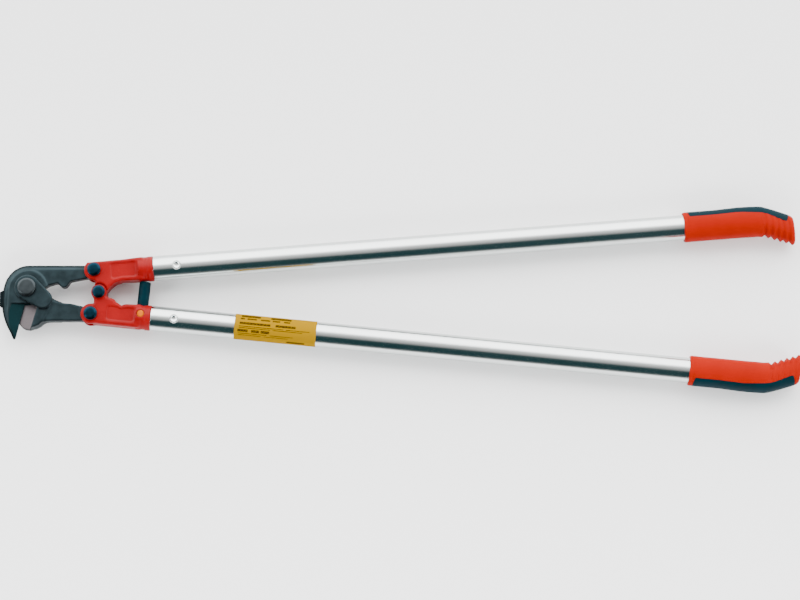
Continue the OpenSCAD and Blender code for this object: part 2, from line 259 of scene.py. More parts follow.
def mottled(tree, surface, base, size_mm, shades, rough, bump_mm, bump_size_mm, detail=4.0):
    """Base colour and roughness that drift over patches of one size, between two shares of
    the base colour and two roughnesses, and a finer bump. Returns the object's place and
    the colour's node, for finishes that add to them."""
    place = add_node(tree, "ShaderNodeTexCoord")
    patches = add_node(tree, "ShaderNodeTexNoise", inputs={
        "Vector": (place, "Object"), "Scale": per_metre(size_mm), "Detail": detail})
    colour = add_node(
        tree, "ShaderNodeValToRGB", inputs={"Fac": (patches, "Fac")},
        stops=[(0.3, tinted(base, shades[0])), (0.7, tinted(base, shades[1]))])
    roughness = add_node(tree, "ShaderNodeMapRange", inputs={
        "Value": (patches, "Fac"), "From Min": 0.3, "From Max": 0.7,
        "To Min": rough[0], "To Max": rough[1]})
    grain = add_node(tree, "ShaderNodeTexNoise", inputs={
        "Vector": (place, "Object"), "Scale": per_metre(bump_size_mm), "Detail": 3.0})
    bump = add_node(tree, "ShaderNodeBump", inputs={
        "Height": (grain, "Fac"), "Distance": bump_mm * MM, "Strength": 0.6})
    tree.links.new(colour.outputs["Color"], surface.inputs["Base Color"])
    tree.links.new(roughness.outputs["Result"], surface.inputs["Roughness"])
    tree.links.new(bump.outputs["Normal"], surface.inputs["Normal"])
    return place, colour


def phosphated_steel():
    """Drop-forged tool steel, zinc phosphated and oiled: dark blue-grey and satin, with
    faint clouds 9 mm across. The crystals are far finer than can show, so they are drawn
    1.6 mm across. Faces ground after forging, and a band of painted shade that darkens
    the hook's sloped outer rim, are marked in the piece's own attributes."""
    base = linear(colours().jaw_hex)
    material, tree, surface = new_material("phosphated_forged_steel", Metallic=1.0)
    place, clouds = mottled(tree, surface, base, 9, (0.78, 1.25), (0.38, 0.52), 0.12, 1.6)
    # Grinding marks half a millimetre apart, across the blade
    turned = add_node(tree, "ShaderNodeMapping", inputs={
        "Vector": (place, "Object"), "Rotation": (0, 0, math.radians(-14)),
        "Scale": (60.0, 1800.0, 60.0)})
    marks = add_node(tree, "ShaderNodeTexNoise", inputs={
        "Vector": (turned, "Vector"), "Scale": 1.0, "Detail": 3.0})
    ground = linear(colours().ground_hex)
    bare = add_node(tree, "ShaderNodeValToRGB", inputs={"Fac": (marks, "Fac")},
                    stops=[(0.3, tinted(ground, 0.88)), (0.7, ground)])
    bluish = (0.48 * base[0], *base[1:])
    last = (clouds, "Color")
    # Each mark is a depth in millimetres, and its colour is full at the depth given here. The
    # mark along the hook's back is painted shade: its sloped rim is drawn at a third of the
    # jaw's colour
    for mark, colour, full in (("hollow", bluish, 0.5), ("skin", tinted(base, 0.34), 2.6),
                               ("ground", (bare, "Color"), 0.5)):
        depth = add_node(tree, "ShaderNodeAttribute", {"attribute_name": mark})
        mask = add_node(tree, "ShaderNodeMapRange", inputs={
            "Value": (depth, "Fac"), "From Min": 0.1, "From Max": full})
        mix = add_node(tree, "ShaderNodeMixRGB", inputs={
            "Fac": (mask, "Result"), "Color1": last, "Color2": colour})
        last = (mix, "Color")
    tree.links.new(last[0].outputs[last[1]], surface.inputs["Base Color"])
    return material


def pivot_steel():
    """Turned steel, thinly phosphated: mid grey and satin, with a fine uneven grain."""
    material, tree, surface = new_material("phosphated_turned_steel", Metallic=1.0)
    mottled(tree, surface, linear(colours().pivot_hex), 6, (0.85, 1.15), (0.34, 0.46),
            0.05, 0.9)
    return material


def zinc_plate():
    """Bright zinc plate on a steel pin: light grey metal, clean and nearly mirror bright."""
    material, tree, surface = new_material("bright_zinc_plate", Metallic=1.0)
    mottled(tree, surface, linear(colours().zinc_hex), 3, (0.9, 1.1), (0.16, 0.22),
            0.01, 0.7)
    return material


def black_oxide():
    """Black oxide on steel, oiled: almost black with a blue-green cast and a soft shine."""
    material, tree, surface = new_material("black_oxide_steel", Metallic=1.0)
    mottled(tree, surface, linear(colours().oxide_hex), 4, (0.8, 1.2), (0.28, 0.4),
            0.05, 0.8)
    return material


def stoved_enamel():
    """Stoved enamel over a forging: glossy red whose surface rolls gently like peel,
    because the paint flows over the forging's own unevenness."""
    material, tree, surface = new_material("stoved_enamel", Specular_IOR_Level=0.1)
    mottled(tree, surface, linear(colours().enamel_hex), 22, (0.86, 1.08), (0.3, 0.42),
            0.25, 3.5, 2.0)
    return material


def anodised_aluminium():
    """Drawn aluminium tube, bright anodised: drawing lines run along the tube and spread
    its reflections a little across them. Real ones are too fine to show, so they are
    drawn about a millimetre apart."""
    material, tree, surface = new_material("anodised_aluminium", Metallic=1.0)
    place = add_node(tree, "ShaderNodeUVMap", {"uv_map": "tube"})
    stretch = add_node(tree, "ShaderNodeMapping", inputs={
        "Vector": (place, "UV"), "Scale": (6.0, 900.0, 1.0)})
    lines = add_node(tree, "ShaderNodeTexNoise", inputs={
        "Vector": (stretch, "Vector"), "Scale": 1.0, "Detail": 4.0})
    base = linear(colours().tube_hex)
    shades = add_node(tree, "ShaderNodeValToRGB", inputs={"Fac": (lines, "Fac")},
                      stops=[(0.3, tinted(base, 0.93)), (0.7, base)])
    roughness = add_node(tree, "ShaderNodeMapRange", inputs={
        "Value": (lines, "Fac"), "To Min": 0.13, "To Max": 0.24})
    bump = add_node(tree, "ShaderNodeBump", inputs={
        "Height": (lines, "Fac"), "Distance": 0.004 * MM, "Strength": 0.5})
    tree.links.new(shades.outputs["Color"], surface.inputs["Base Color"])
    tree.links.new(roughness.outputs["Result"], surface.inputs["Roughness"])
    tree.links.new(bump.outputs["Normal"], surface.inputs["Normal"])
    return material


def moulded_polypropylene():
    """Injection-moulded polypropylene from a spark-eroded mould: even orange-red with a
    fine satin grain about half a millimetre across, drawn slightly coarser to show."""
    material, tree, surface = new_material("moulded_polypropylene", Specular_IOR_Level=0.025)
    mottled(tree, surface, linear(colours().shell_hex), 30, (0.93, 1.05), (0.4, 0.5),
            0.06, 0.9, 2.0)
    return material


def soft_elastomer():
    """Thermoplastic elastomer moulded over the grip: near-black and matt, with a grain
    0.8 mm across."""
    material, tree, surface = new_material("soft_touch_elastomer", Specular_IOR_Level=0.05)
    mottled(tree, surface, linear(colours().soft_hex), 25, (0.85, 1.15), (0.5, 0.62),
            0.08, 0.8, 2.0)
    return material


def buffer_rubber():
    """Moulded solid rubber: black with a slight bloom and a soft shine on its flanks."""
    material, tree, surface = new_material("moulded_rubber", Specular_IOR_Level=0.04)
    mottled(tree, surface, linear(colours().soft_hex), 8, (0.8, 1.2), (0.38, 0.5),
            0.06, 1.0)
    return material


def amber_plastic():
    """Amber acetal cap: a clean gloss colour with a little depth."""
    material, tree, surface = new_material(
        "amber_acetal", Subsurface_Weight=0.1, Specular_IOR_Level=0.02)
    surface.inputs["Subsurface Radius"].default_value = (0.001, 0.0006, 0.0002)
    mottled(tree, surface, linear(colours().amber_hex), 5, (0.95, 1.05), (0.25, 0.3),
            0.02, 1.0)
    return material


# Print on the label: rows of plain bars as (start, end) shares of its length, at a height
# from its upper edge, with each row's thickness as a share of the label's width
LABEL_ROWS = [
    (0.232, 0.090, [(0.077, 0.309), (0.438, 0.685)]),
    (0.328, 0.045, [(0.068, 0.12), (0.15, 0.265), (0.315, 0.43), (0.46, 0.55), (0.60, 0.673)]),
    (0.448, 0.056, [(0.062, 0.438), (0.50, 0.747)]),
    (0.520, 0.016, [(0.056, 0.60), (0.63, 0.92)]),
    (0.556, 0.016, [(0.056, 0.44), (0.47, 0.83)]),
    (0.621, 0.062, [(0.043, 0.167), (0.211, 0.309), (0.327, 0.432)]),
    (0.690, 0.016, [(0.05, 0.40), (0.44, 0.72)]),
    (0.735, 0.016, [(0.05, 0.33), (0.37, 0.66)]),
    (0.850, 0.065, [(0.648, 0.864)]),
]


def label_film():
    """Polyester label film, printed and clear coated: yellow with plain dark bars where
    a real label has its print. The bars lie on the label's own UV map."""
    material, tree, surface = new_material(
        "printed_polyester_film", Roughness=0.32, Specular_IOR_Level=0.004)
    place = add_node(tree, "ShaderNodeUVMap", {"uv_map": "label"})
    split = add_node(tree, "ShaderNodeSeparateXYZ", inputs={"Vector": (place, "UV")})
    printed = None
    for height, thick, bars in LABEL_ROWS:
        row = add_node(tree, "ShaderNodeMath", {"operation": "COMPARE"},
                       {0: (split, "Y"), 1: 1 - height, 2: thick / 2})
        for start, end in bars:
            span = add_node(tree, "ShaderNodeMath", {"operation": "COMPARE"},
                            {0: (split, "X"), 1: (start + end) / 2, 2: (end - start) / 2})
            bar = add_node(tree, "ShaderNodeMath", {"operation": "MULTIPLY"},
                           {0: (row, "Value"), 1: (span, "Value")})
            printed = bar if printed is None else add_node(
                tree, "ShaderNodeMath", {"operation": "MAXIMUM"},
                {0: (printed, "Value"), 1: (bar, "Value")})
    # The print is broken up at letter spacing, so a bar reads as a line of small type
    letters = add_node(tree, "ShaderNodeTexNoise", inputs={
        "Vector": (place, "UV"), "Scale": 70.0, "Detail": 1.0})
    ink = add_node(tree, "ShaderNodeMapRange", inputs={
        "Value": (letters, "Fac"), "From Min": 0.35, "From Max": 0.55,
        "To Min": 0.45, "To Max": 1.0})
    inked = add_node(tree, "ShaderNodeMath", {"operation": "MULTIPLY"},
                     {0: (printed, "Value"), 1: (ink, "Result")})
    shades = add_node(tree, "ShaderNodeValToRGB", inputs={"Fac": (inked, "Value")}, stops=[
        (0.0, linear(colours().label_hex)), (1.0, linear(colours().print_hex))])
    tree.links.new(shades.outputs["Color"], surface.inputs["Base Color"])
    return material


MATERIALS = {}


def material_of(maker):
    """Each material is made once, the first time that a piece asks for it."""
    if maker.__name__ not in MATERIALS:
        MATERIALS[maker.__name__] = maker()
    return MATERIALS[maker.__name__]


# ---------------------------------------------------------------- meshes


def add_piece(name, points, faces, maker, body, replaced, weld=True):
    """Puts points in millimetres and faces into a new piece, with its seams and poles
    closed and its faces outward, hangs it from its body and hides the CAD nodes it replaces."""
    if len(faces) == 0:
        raise RuntimeError(name + " came out empty")
    mesh = bpy.data.meshes.new(name)
    mesh.from_pydata((np.asarray(points) * MM).tolist(), [], faces)
    if weld:
        shell = bmesh.new()
        shell.from_mesh(mesh)
        bmesh.ops.remove_doubles(shell, verts=shell.verts, dist=1e-6)
        bmesh.ops.dissolve_degenerate(shell, edges=shell.edges, dist=1e-7)
        bmesh.ops.recalc_face_normals(shell, faces=shell.faces)
        shell.to_mesh(mesh)
        shell.free()
    mesh.polygons.foreach_set("use_smooth", np.ones(len(mesh.polygons), bool))
    mesh.update()
    piece = bpy.data.objects.new(name, mesh)
    bpy.context.scene.collection.objects.link(piece)
    piece.data.materials.append(material_of(maker))
    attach(piece, body)
    if replaced:
        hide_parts(*replaced)
    return piece


def sharpen(piece, degrees):
    """Marks the edges that turn more than an angle, so that flats stay flat."""
    piece.data.set_sharp_from_angle(angle=math.radians(degrees))


def grid_faces(rows, columns, closed_rows=False, closed_columns=False):
    """Quads between the points of a rows by columns grid, in row-major order."""
    r = np.arange(rows if closed_rows else rows - 1)[:, None]
    c = np.arange(columns if closed_columns else columns - 1)[None, :]
    here, across = c + 0 * r, (c + 1) % columns + 0 * r
    below = (r + 1) % rows
    quads = np.stack([r * columns + here, r * columns + across,
                      below * columns + across, below * columns + here], axis=-1)
    return quads.reshape(-1, 4).tolist()


def sheet_faces(rows, columns):
    """Faces of a thin sheet whose rings run out over its top and back under it: the
    rings' quads, and a strip of quads that closes each end."""
    across = np.arange(columns // 2 - 1)
    faces = grid_faces(rows, columns, closed_columns=True)
    for first in (0, (rows - 1) * columns):
        last = first + columns - 1
        faces += np.stack([first + across, first + across + 1,
                           last - across - 1, last - across], axis=1).tolist()
    return faces


def eased(profile, radius, steps=4):
    """A profile whose corners are rounded: each inner corner becomes a parabola that
    starts and ends the radius away from it, or half the shorter side if that is less."""
    profile = np.asarray(profile, float)
    rounded = [profile[:1]]
    for before, corner, after in zip(profile[:-2], profile[1:-1], profile[2:]):
        back, ahead = before - corner, after - corner
        room = min(radius, 0.49 * np.linalg.norm(back), 0.49 * np.linalg.norm(ahead))
        first = corner + back / np.linalg.norm(back) * room
        last = corner + ahead / np.linalg.norm(ahead) * room
        t = np.linspace(0, 1, steps + 1)[:, None]
        rounded.append((1 - t) ** 2 * first + 2 * t * (1 - t) * corner + t ** 2 * last)
    rounded.append(profile[-1:])
    return np.vstack(rounded)


def across_axis(along):
    """Two unit vectors square to an axis and to each other."""
    along = np.asarray(along, float)
    side = np.cross([0, 0, 1], along) if abs(along[2]) < 0.9 else np.array([1.0, 0, 0])
    side = side / np.linalg.norm(side)
    return side, np.cross(along, side)


def revolve(profile, start, along, turns=72):
    """A profile of (radius, distance) points turned about an axis: each point is the
    start, plus the distance along the axis, plus the radius at the angle of its column."""
    profile = np.asarray(profile, float)
    angle = np.linspace(0, 2 * math.pi, turns, endpoint=False)
    side, up = across_axis(along)
    ring = np.cos(angle)[:, None] * side + np.sin(angle)[:, None] * up
    points = (np.asarray(start) + profile[:, None, 1:] * np.asarray(along)
              + profile[:, None, :1] * ring[None])
    return points.reshape(-1, 3), grid_faces(len(profile), turns, closed_columns=True)


# ---------------------------------------------------------------- blended solids
# A forging is described by a distance that is negative inside it. Flat outlines give the
# distance in plan, a slab gives it thickness, and joins and cuts are blended over a few
# millimetres as a die's fillets are.


def smooth_ramp(value, start, end):
    """0 before start, 1 after end, and an S-curve between."""
    t = np.clip((value - start) / (end - start), 0, 1)
    return t * t * (3 - 2 * t)


def facing(degrees):
    """The direction in plan at an angle from the X axis."""
    return np.array([math.cos(math.radians(degrees)), math.sin(math.radians(degrees))])


def arc(centre, radius, start, end, steps=16):
    """Points along a circular arc, angles in degrees."""
    angle = np.radians(np.linspace(start, end, steps + 1))[:, None]
    return np.asarray(centre) + radius * np.hstack([np.cos(angle), np.sin(angle)])


def outline(*runs):
    """One closed outline from single points and runs of points."""
    return np.vstack([np.atleast_2d(run) for run in runs])


def in_plan(x, y, points):
    """Signed distance to a closed outline: the least distance to any of its edges,
    negative where a ray towards +x crosses the edges an odd number of times."""
    nearest = np.full(np.broadcast(x, y).shape, np.inf)
    inside = np.zeros(nearest.shape, bool)
    for (ax, ay), (bx, by) in zip(points, np.roll(points, -1, axis=0)):
        ex, ey = bx - ax, by - ay
        share = np.clip(((x - ax) * ex + (y - ay) * ey) / (ex * ex + ey * ey), 0, 1)
        gap = (x - ax - share * ex) ** 2 + (y - ay - share * ey) ** 2
        nearest = np.minimum(nearest, gap)
        if ey != 0:
            crossing = ((ay > y) != (by > y)) & (x < ax + ex * (y - ay) / ey)
            inside ^= crossing
    return np.where(inside, -1, 1) * np.sqrt(nearest)


def disc(x, y, centre, radius):
    """Signed distance to a circle in plan."""
    return np.hypot(x - centre[0], y - centre[1]) - radius


def block(x, y, centre, half):
    """An oblong in plan: the larger of the distances past its sides."""
    return np.maximum(np.abs(x - centre[0]) - half[0], np.abs(y - centre[1]) - half[1])


def slab(flat, z, low, high, rounding):
    """A flat outline given thickness, with its edges rounded: inside the rounding it is
    the larger of the two distances, outside it the length of both together."""
    side = flat + rounding
    lid = np.abs(z - (low + high) / 2) - (high - low) / 2 + rounding
    return (np.minimum(np.maximum(side, lid), 0)
            + np.hypot(np.maximum(side, 0), np.maximum(lid, 0)) - rounding)


def together(*solids):
    """The smallest of several distances, with no blend."""
    return np.minimum.reduce(np.broadcast_arrays(*solids))


def join(first, second, blend):
    """The smaller distance, with the valley between the two solids filled by a blend."""
    share = np.clip(0.5 + 0.5 * (second - first) / blend, 0, 1)
    return second + (first - second) * share - blend * share * (1 - share)


def cut(solid, tool, blend):
    """What is left of a solid outside a tool, with the new edge blended."""
    return -join(-solid, tool, blend)


def within(solid, other, blend):
    """What two solids share, with the edge between them blended."""
    return -join(-solid, -other, blend)


def tilted(x, y, start, along):
    """Plan coordinates along and across a handle: u along its axis, v to its left."""
    dx, dy = x - start[0], y - start[1]
    return dx * along[0] + dy * along[1], dy * along[0] - dx * along[1]


def surface_of(field, low, high, step):
    """The surface on which a field is zero. On each grid cell that the surface crosses, a
    vertex starts at the mean of the crossings on the cell's edges and then moves down
    the field's slope on to the surface. Four cells round a crossed edge make a quad."""
    axes = [np.arange(a, b + step, step) for a, b in zip(low, high)]
    values = np.broadcast_to(
        field(axes[0][:, None, None], axes[1][None, :, None], axes[2][None, None, :]),
        [len(a) for a in axes])
    cells = tuple(n - 1 for n in values.shape)
    total, count = np.zeros(cells + (3,)), np.zeros(cells)
    crossings = []
    for axis in range(3):
        first = np.moveaxis(values, axis, 0)[:-1]
        second = np.moveaxis(values, axis, 0)[1:]
        crossed = (first < 0) != (second < 0)
        share = np.where(crossed, first / np.where(crossed, first - second, 1), 0)
        crossed, share = np.moveaxis(crossed, 0, axis), np.moveaxis(share, 0, axis)
        crossings.append((crossed, np.moveaxis(first < 0, 0, axis)))
        # Each cell has four edges along this axis, at its corners b and c across it
        others = [n for n in range(3) if n != axis]
        for corner in ((0, 0), (0, 1), (1, 0), (1, 1)):
            window = [slice(None)] * 3
            for other, shift in zip(others, corner):
                window[other] = slice(shift, shift + cells[other])
            hit = crossed[tuple(window)]
            place = np.zeros(hit.shape + (3,))
            place[..., axis] = share[tuple(window)]
            place[..., others] = corner
            total += place * hit[..., None]
            count += hit
    used = count > 0
    number = np.full(cells, -1)
    number[used] = np.arange(used.sum())
    points = (np.argwhere(used) + total[used] / count[used][:, None]) * step + np.array(
        [a[0] for a in axes])
    faces = []
    for axis, (crossed, leaving) in enumerate(crossings):
        b, c = [n for n in range(3) if n != axis]
        i = np.argwhere(crossed)
        i = i[(i[:, b] > 0) & (i[:, c] > 0) & (i[:, b] < cells[b]) & (i[:, c] < cells[c])]
        step_b, step_c = np.eye(3, dtype=int)[b], np.eye(3, dtype=int)[c]
        ring = [i - step_b - step_c, i - step_c, i, i - step_b]
        quad = np.stack([number[tuple(r.T)] for r in ring], axis=1)
        flip = leaving[tuple(i.T)] == (axis == 1)
        quad[flip] = quad[flip][:, ::-1]
        faces.append(quad)
    for _ in range(3):
        points = points - slope_step(field, points, step)
    return points, np.vstack(faces).tolist()


def slope_step(field, points, step):
    """How far to move each point along the field's slope to reach zero."""
    x, y, z = points.T
    here, small = field(x, y, z), step * 0.05
    slope = np.stack([field(x + small, y, z) - here, field(x, y + small, z) - here,
                      field(x, y, z + small) - here], axis=1) / small
    steep = np.maximum((slope ** 2).sum(axis=1), 0.25)
    move = slope * (here / steep)[:, None]
    length = np.linalg.norm(move, axis=1)[:, None]
    return move * np.minimum(1, 0.5 * step / np.maximum(length, 1e-9))


def add_forging(name, field, low, high, maker, body, slot, replaced):
    """A blended solid as a piece, searched for a little way past its box."""
    step = sizes().forge_step / MM * 1
    points, faces = surface_of(field, low - 1.5, high + 1.5, step)
    return add_piece(name, points, faces, maker, body, replaced, weld=False)


# ---------------------------------------------------------------- jaws

# The eyes are the round parts about the main pivot. The cutting edge is the hook's straight
# inner edge, from its top near the eye to the point, and the nose is the blade's round end
EYE_R = 19.7
TAIL_R = 8.8
EDGE_TOP = np.array([-3.5, -19.6])
EDGE_TIP = np.array([-13.9, -60.3])
EDGE_ALONG = (EDGE_TIP - EDGE_TOP) / np.linalg.norm(EDGE_TIP - EDGE_TOP)
NOSE = np.array([1.8, -37.0])
NOSE_R = 12.3
PIVOT_HOLE_R = 6.05
TOGGLE_HOLE_R = 4.05
SLOT_R, SLOT_SHIFT = 4.3, np.array([0, 1.7])
RIM_SLOPE = 0.62
# Width of the band of painted shade along the hook's back, over its sloped rim
PAINTED_SHADE_WIDTH = 3.9
HOLLOW = np.array([[-18.4, -18.6], [8, -18.6], [0, -66], [-16.4, -62], [-21.8, -44],
                   [-22.0, -27]])
BLADE_BELLY = outline([10.2, -47.5], arc([27.5, -55.1], 15.75, 140, 95, 8))


def hook_back():
    """The jaw's convex back: straight over the tail, round the head, down to the point."""
    return outline(
        [78, 27.7], [30, 27.7], arc([1, -1], 28.7, 90, 148, 14),
        arc([41, -15], 71.5, 159, 211, 14), [-15.6, -61.4], EDGE_TIP + [-0.6, -0.5])


def behind(x, y):
    """Distance to the back alone: negative on the jaw's side of it."""
    return in_plan(x, y, outline(hook_back(), [40, -300], [400, -300], [400, 27.7]))


def hook_shape(x, y, z):
    """Hook jaw: a slab for the tail and head, a raised middle within a sloped rim, a
    hollow ground beside the cutting edge, and a pad on the spine."""
    body = in_plan(x, y, outline(
        hook_back(), EDGE_TIP, EDGE_TOP, arc([0, 0], EYE_R, 262, 358, 14), [25.4, 3.4],
        arc([35, -4.5], 10.4, 112, 84, 4), arc([43, 5.6], 4.9, 215, 325, 10),
        [51, 8.2], [61, 10.2], [75.4, 12.6],
        arc(UPPER_TOGGLE, TAIL_R, -110, 84, 16)))
    # Below the middle height there is only the tail, outside the blade jaw's eye
    blade_room = slab(disc(x, y, (0, 0), EYE_R + 1), z, -10, HOOK_LOW, 0.1)
    tail = cut(slab(body, z, TAIL_LOW, TAIL_HIGH, 1.0), blade_room, 0.3)
    tail = cut(tail, np.maximum(in_plan(x, y, outline(
        [-60, -90], [20, -90], [20, 40], [-60, 40])), z - HOOK_LOW), 0.2)
    head_zone = np.maximum(HOOK_LOW - z, in_plan(x, y, outline(
        [-60, -90], [24, -90], [24, 40], [-60, 40])))
    head = within(slab(body, z, HOOK_LOW, TAIL_HIGH, 0.25), head_zone, 0.1)
    raised_zone = in_plan(x, y, outline(
        arc([0.5, -1], 23.8, 8, 168, 18), [-23.6, -14], [-24.6, -34], [-16.5, -60],
        EDGE_TIP, [4, -12], [22, -6]))
    raised = slab(raised_zone + np.maximum(z - TAIL_HIGH, 0) * 1.1, z,
                  HOOK_LOW, HEAD_HIGH, 0.7)
    raised = within(raised, slab(body, z, HOOK_LOW, HEAD_HIGH, 0.5), 0.4)
    jaw = join(join(tail, head, 0.2), raised, 0.8)
    # Sloped rim: the top falls towards the back over the rim's width
    rim = sizes().rim_width / MM
    from_back = behind(x, y)
    slope = ((z - (TAIL_HIGH + 0.1) + RIM_SLOPE * (from_back + rim))
             / math.hypot(1, RIM_SLOPE))
    rimmed = within(jaw, np.where(from_back > -rim - 2, slope, -1), 0.7)
    jaw = np.where(from_back > -rim - 1.8, rimmed, jaw)
    # Hollow beside the edge: its floor falls towards the cutting edge
    from_edge = (x - EDGE_TOP[0]) * -EDGE_ALONG[1] + (y - EDGE_TOP[1]) * EDGE_ALONG[0]
    floor = HEAD_HIGH - 5.2 + np.maximum(-from_edge, 0) * 0.3
    jaw = cut(jaw, np.maximum(in_plan(x, y, HOLLOW), floor - z), 0.5)
    pad = slab(in_plan(x, y, outline(
        [-33.0, -4.6], [-33.0, -21.4], [-28.6, -24], [-27.6, -2])), z,
        HOOK_LOW - 4, TAIL_HIGH - 0.6, 1.0)
    jaw = join(jaw, pad, 1.0)
    return cut(jaw, together(disc(x, y, MAIN_PIVOT, PIVOT_HOLE_R),
                             disc(x, y, UPPER_TOGGLE + SLOT_SHIFT, SLOT_R),
                             disc(x, y, UPPER_TOGGLE - SLOT_SHIFT, SLOT_R)), 0.3)


def blade_shape(x, y, z):
    """Blade jaw: a thin round-nosed blade under the hook, a full-height body beside it
    that carries the strap's end, and a tail."""
    edge_side = np.array([EDGE_ALONG[1], -EDGE_ALONG[0]]) * 1.2
    layer = in_plan(x, y, outline(
        EDGE_TOP + edge_side, EDGE_TOP + edge_side + EDGE_ALONG * 22.6,
        arc(NOSE, NOSE_R, 200, 296, 14), BLADE_BELLY, [40, -39.4], [40, -15.9],
        [32.9, -13.2], [27, -9.8], [19.3, -6.3], [4, -19]))
    body = in_plan(x, y, outline(
        [10.6, -23.7], [2.8, -50.6], arc(NOSE, NOSE_R, 280, 296, 4), BLADE_BELLY,
        [21, -39], [27.6, -25.2], [30.5, -17.9], [29.6, -11.2], [25.5, -9],
        [19.3, -6.3], [12, -16.2]))
    tail = in_plan(x, y, outline(
        [20, -39.4], [20, -16], [27, -9.8], arc([51, 32], 50.4, 241, 270, 6),
        [62.6, -21.0], [71, -23.4], arc(LOWER_TOGGLE, TAIL_R, 100, -80, 16), [74, -39.4]))
    hook_room = disc(x, y, MAIN_PIVOT, EYE_R + 0.5)
    blade = together(slab(layer, z, BLADE_LOW, BLADE_HIGH, 0.3), slab(
        disc(x, y, MAIN_PIVOT, EYE_R), z, BLADE_LOW, BLADE_HIGH, 0.3))
    upper = slab(body + np.maximum(z - BLADE_HIGH, 0) * 0.18, z,
                 BLADE_LOW + 1, STRAP_LOW, 1.3)
    upper = cut(upper, np.maximum(hook_room, BLADE_HIGH - z), 0.2)
    tail = cut(slab(tail, z, TAIL_LOW, TAIL_HIGH, 1.6), hook_room, 0.2)
    jaw = join(join(blade, upper, 0.6), tail, 1.6)
    # The hook's eye turns in here, so no fillet may be left above the blade's face
    jaw = cut(jaw, np.maximum(hook_room, BLADE_HIGH + 0.03 - z), 0.05)
    return cut(jaw, together(disc(x, y, MAIN_PIVOT, PIVOT_HOLE_R),
                             disc(x, y, LOWER_TOGGLE, TOGGLE_HOLE_R)), 0.3)


def strap_shape(x, y, z):
    """Teardrop plate: the round end over the pivot and the smaller round end over the
    blade jaw's shoulder, with straight sides that touch both circles."""
    pivot_end_r, shoulder_end_r = 15.0, 11.4
    shoulder = box_centre("strap_dowel")[:2]
    span = np.linalg.norm(shoulder - MAIN_PIVOT)
    heading = math.degrees(math.atan2(*(shoulder - MAIN_PIVOT)[::-1]))
    lean = math.degrees(math.acos((pivot_end_r - shoulder_end_r) / span))
    flat = in_plan(x, y, outline(
        arc(MAIN_PIVOT, pivot_end_r, heading + lean, heading + 360 - lean, 40),
        arc(shoulder, shoulder_end_r, heading - lean, heading + lean, 30)))
    return slab(flat, z, STRAP_LOW, STRAP_HIGH, 1.6)


def mark_faces(piece, name, depth_inside):
    """Writes to the piece, for each vertex, how many millimetres it lies inside a marked
    face, so that the shader can draw the face's border as a sharp line."""
    inside = depth_inside(*mesh_points(piece.data).T)
    mark = piece.data.attributes.new(name, "FLOAT", "POINT")
    mark.data.foreach_set("value", inside.astype(np.float32))


def inside_ground_face(x, y, z):
    """The blade's flat top, from the cutting edge to the line where its body rises."""
    to_body = ((10.6 - x) * 26.9 + (y + 23.7) * 7.8) / math.hypot(26.9, 7.8)
    return np.minimum(np.minimum(to_body, -16 - y), 0.6 - np.abs(z - BLADE_HIGH) * 2)


def inside_painted_rim_shade(x, y, z):
    """The band along the hook's back whose darker colour is painted shade on its sloped rim."""
    return behind(x, y) + PAINTED_SHADE_WIDTH


def inside_hollow(x, y, z):
    """The hollow beside the hook's cutting edge, below the raised middle's top."""
    return np.minimum(-in_plan(x, y, HOLLOW), HEAD_HIGH - 0.35 - z)


class CUTTER_OT_jaws(bpy.types.Operator):
    """Forges the hook jaw, the blade jaw and the strap over their eyes"""

    bl_idname = "cutter.jaws"
    bl_label = "Jaws and strap"

    def execute(self, context):
        for name, node, shape, body, marks in (
                ("hook_jaw_forging", "hook_jaw", hook_shape, "hook_jaw",
                 # The mark along the hook's back is painted shade on its sloped rim
                 {"hollow": inside_hollow, "skin": inside_painted_rim_shade}),
                ("blade_jaw_forging", "blade_jaw", blade_shape, "blade_jaw",
                 {"ground": inside_ground_face}),
                ("strap_plate", "pivot_strap", strap_shape, "blade_jaw", {})):
            piece = add_forging(name, shape, *box_mm(node), phosphated_steel, body, "jaws",
                                [node])
            for mark, depth_inside in marks.items():
                mark_faces(piece, mark, depth_inside)
        return {"FINISHED"}


# ---------------------------------------------------------------- arms

BOSS_R = 12.2
EAR_R = 9.1
# Headings, in degrees, of the room in each fork for its jaw's tail when fully open
HOOK_SWING, BLADE_SWING = 125, 44.4
COLLAR_R = TUBE_R - 0.4
BUFFER_R = 6.8
BUFFER_CAP_R = 4.4


def with_collar(arm, x, y, z, start, along):
    """An arm with its round end: the slab's corners slope in to a cylinder a little under
    the tube's diameter, and a shallow groove sets off the ring that the tube meets. The
    distance u along the handle is 0 where the tube starts."""
    u, v = tilted(x, y, start, along)
    radius = np.hypot(v, z - MID_Z)
    cone = (radius - COLLAR_R - 0.9 * np.maximum(-u - 11, 0)) / 1.2
    arm = within(arm, np.where(u > -30, cone, -20), 1.6)
    groove = 0.55 * smooth_ramp(u, -13, -10) * (1 - smooth_ramp(u, -7.4, -6.4))
    eased_lip = 0.8 * smooth_ramp(u, -1.5, 0.3)
    ring = np.maximum(radius - TUBE_R + groove + eased_lip, np.maximum(u + 0.02, -18 - u))
    return join(arm, ring, 0.8)


def arm_panels(arm, flat, x, y, z, start, along, box):
    """Shallow panels forged into both faces of an arm: oblongs with 3 mm corners and soft
    borders, 1.2 mm deep, kept a rim's width inside the arm's outline."""
    (u_low, u_high), (v_low, v_high) = box
    across, upward = tilted(x, y, start, along)
    across = np.abs(across - (u_low + u_high) / 2) - (u_high - u_low) / 2 + 3
    upward = np.abs(upward - (v_low + v_high) / 2) - (v_high - v_low) / 2 + 3
    panel = (np.hypot(np.maximum(across, 0), np.maximum(upward, 0))
             + np.minimum(np.maximum(across, upward), 0) - 3)
    panel = within(panel, flat + 4.2, 2.0)
    for side in (-1, 1):
        above = ARM_HIGH - MID_Z - 1.2 - side * (z - MID_Z)
        arm = cut(arm, within(panel * 0.5, above, 0.6), 1.4)
    return arm


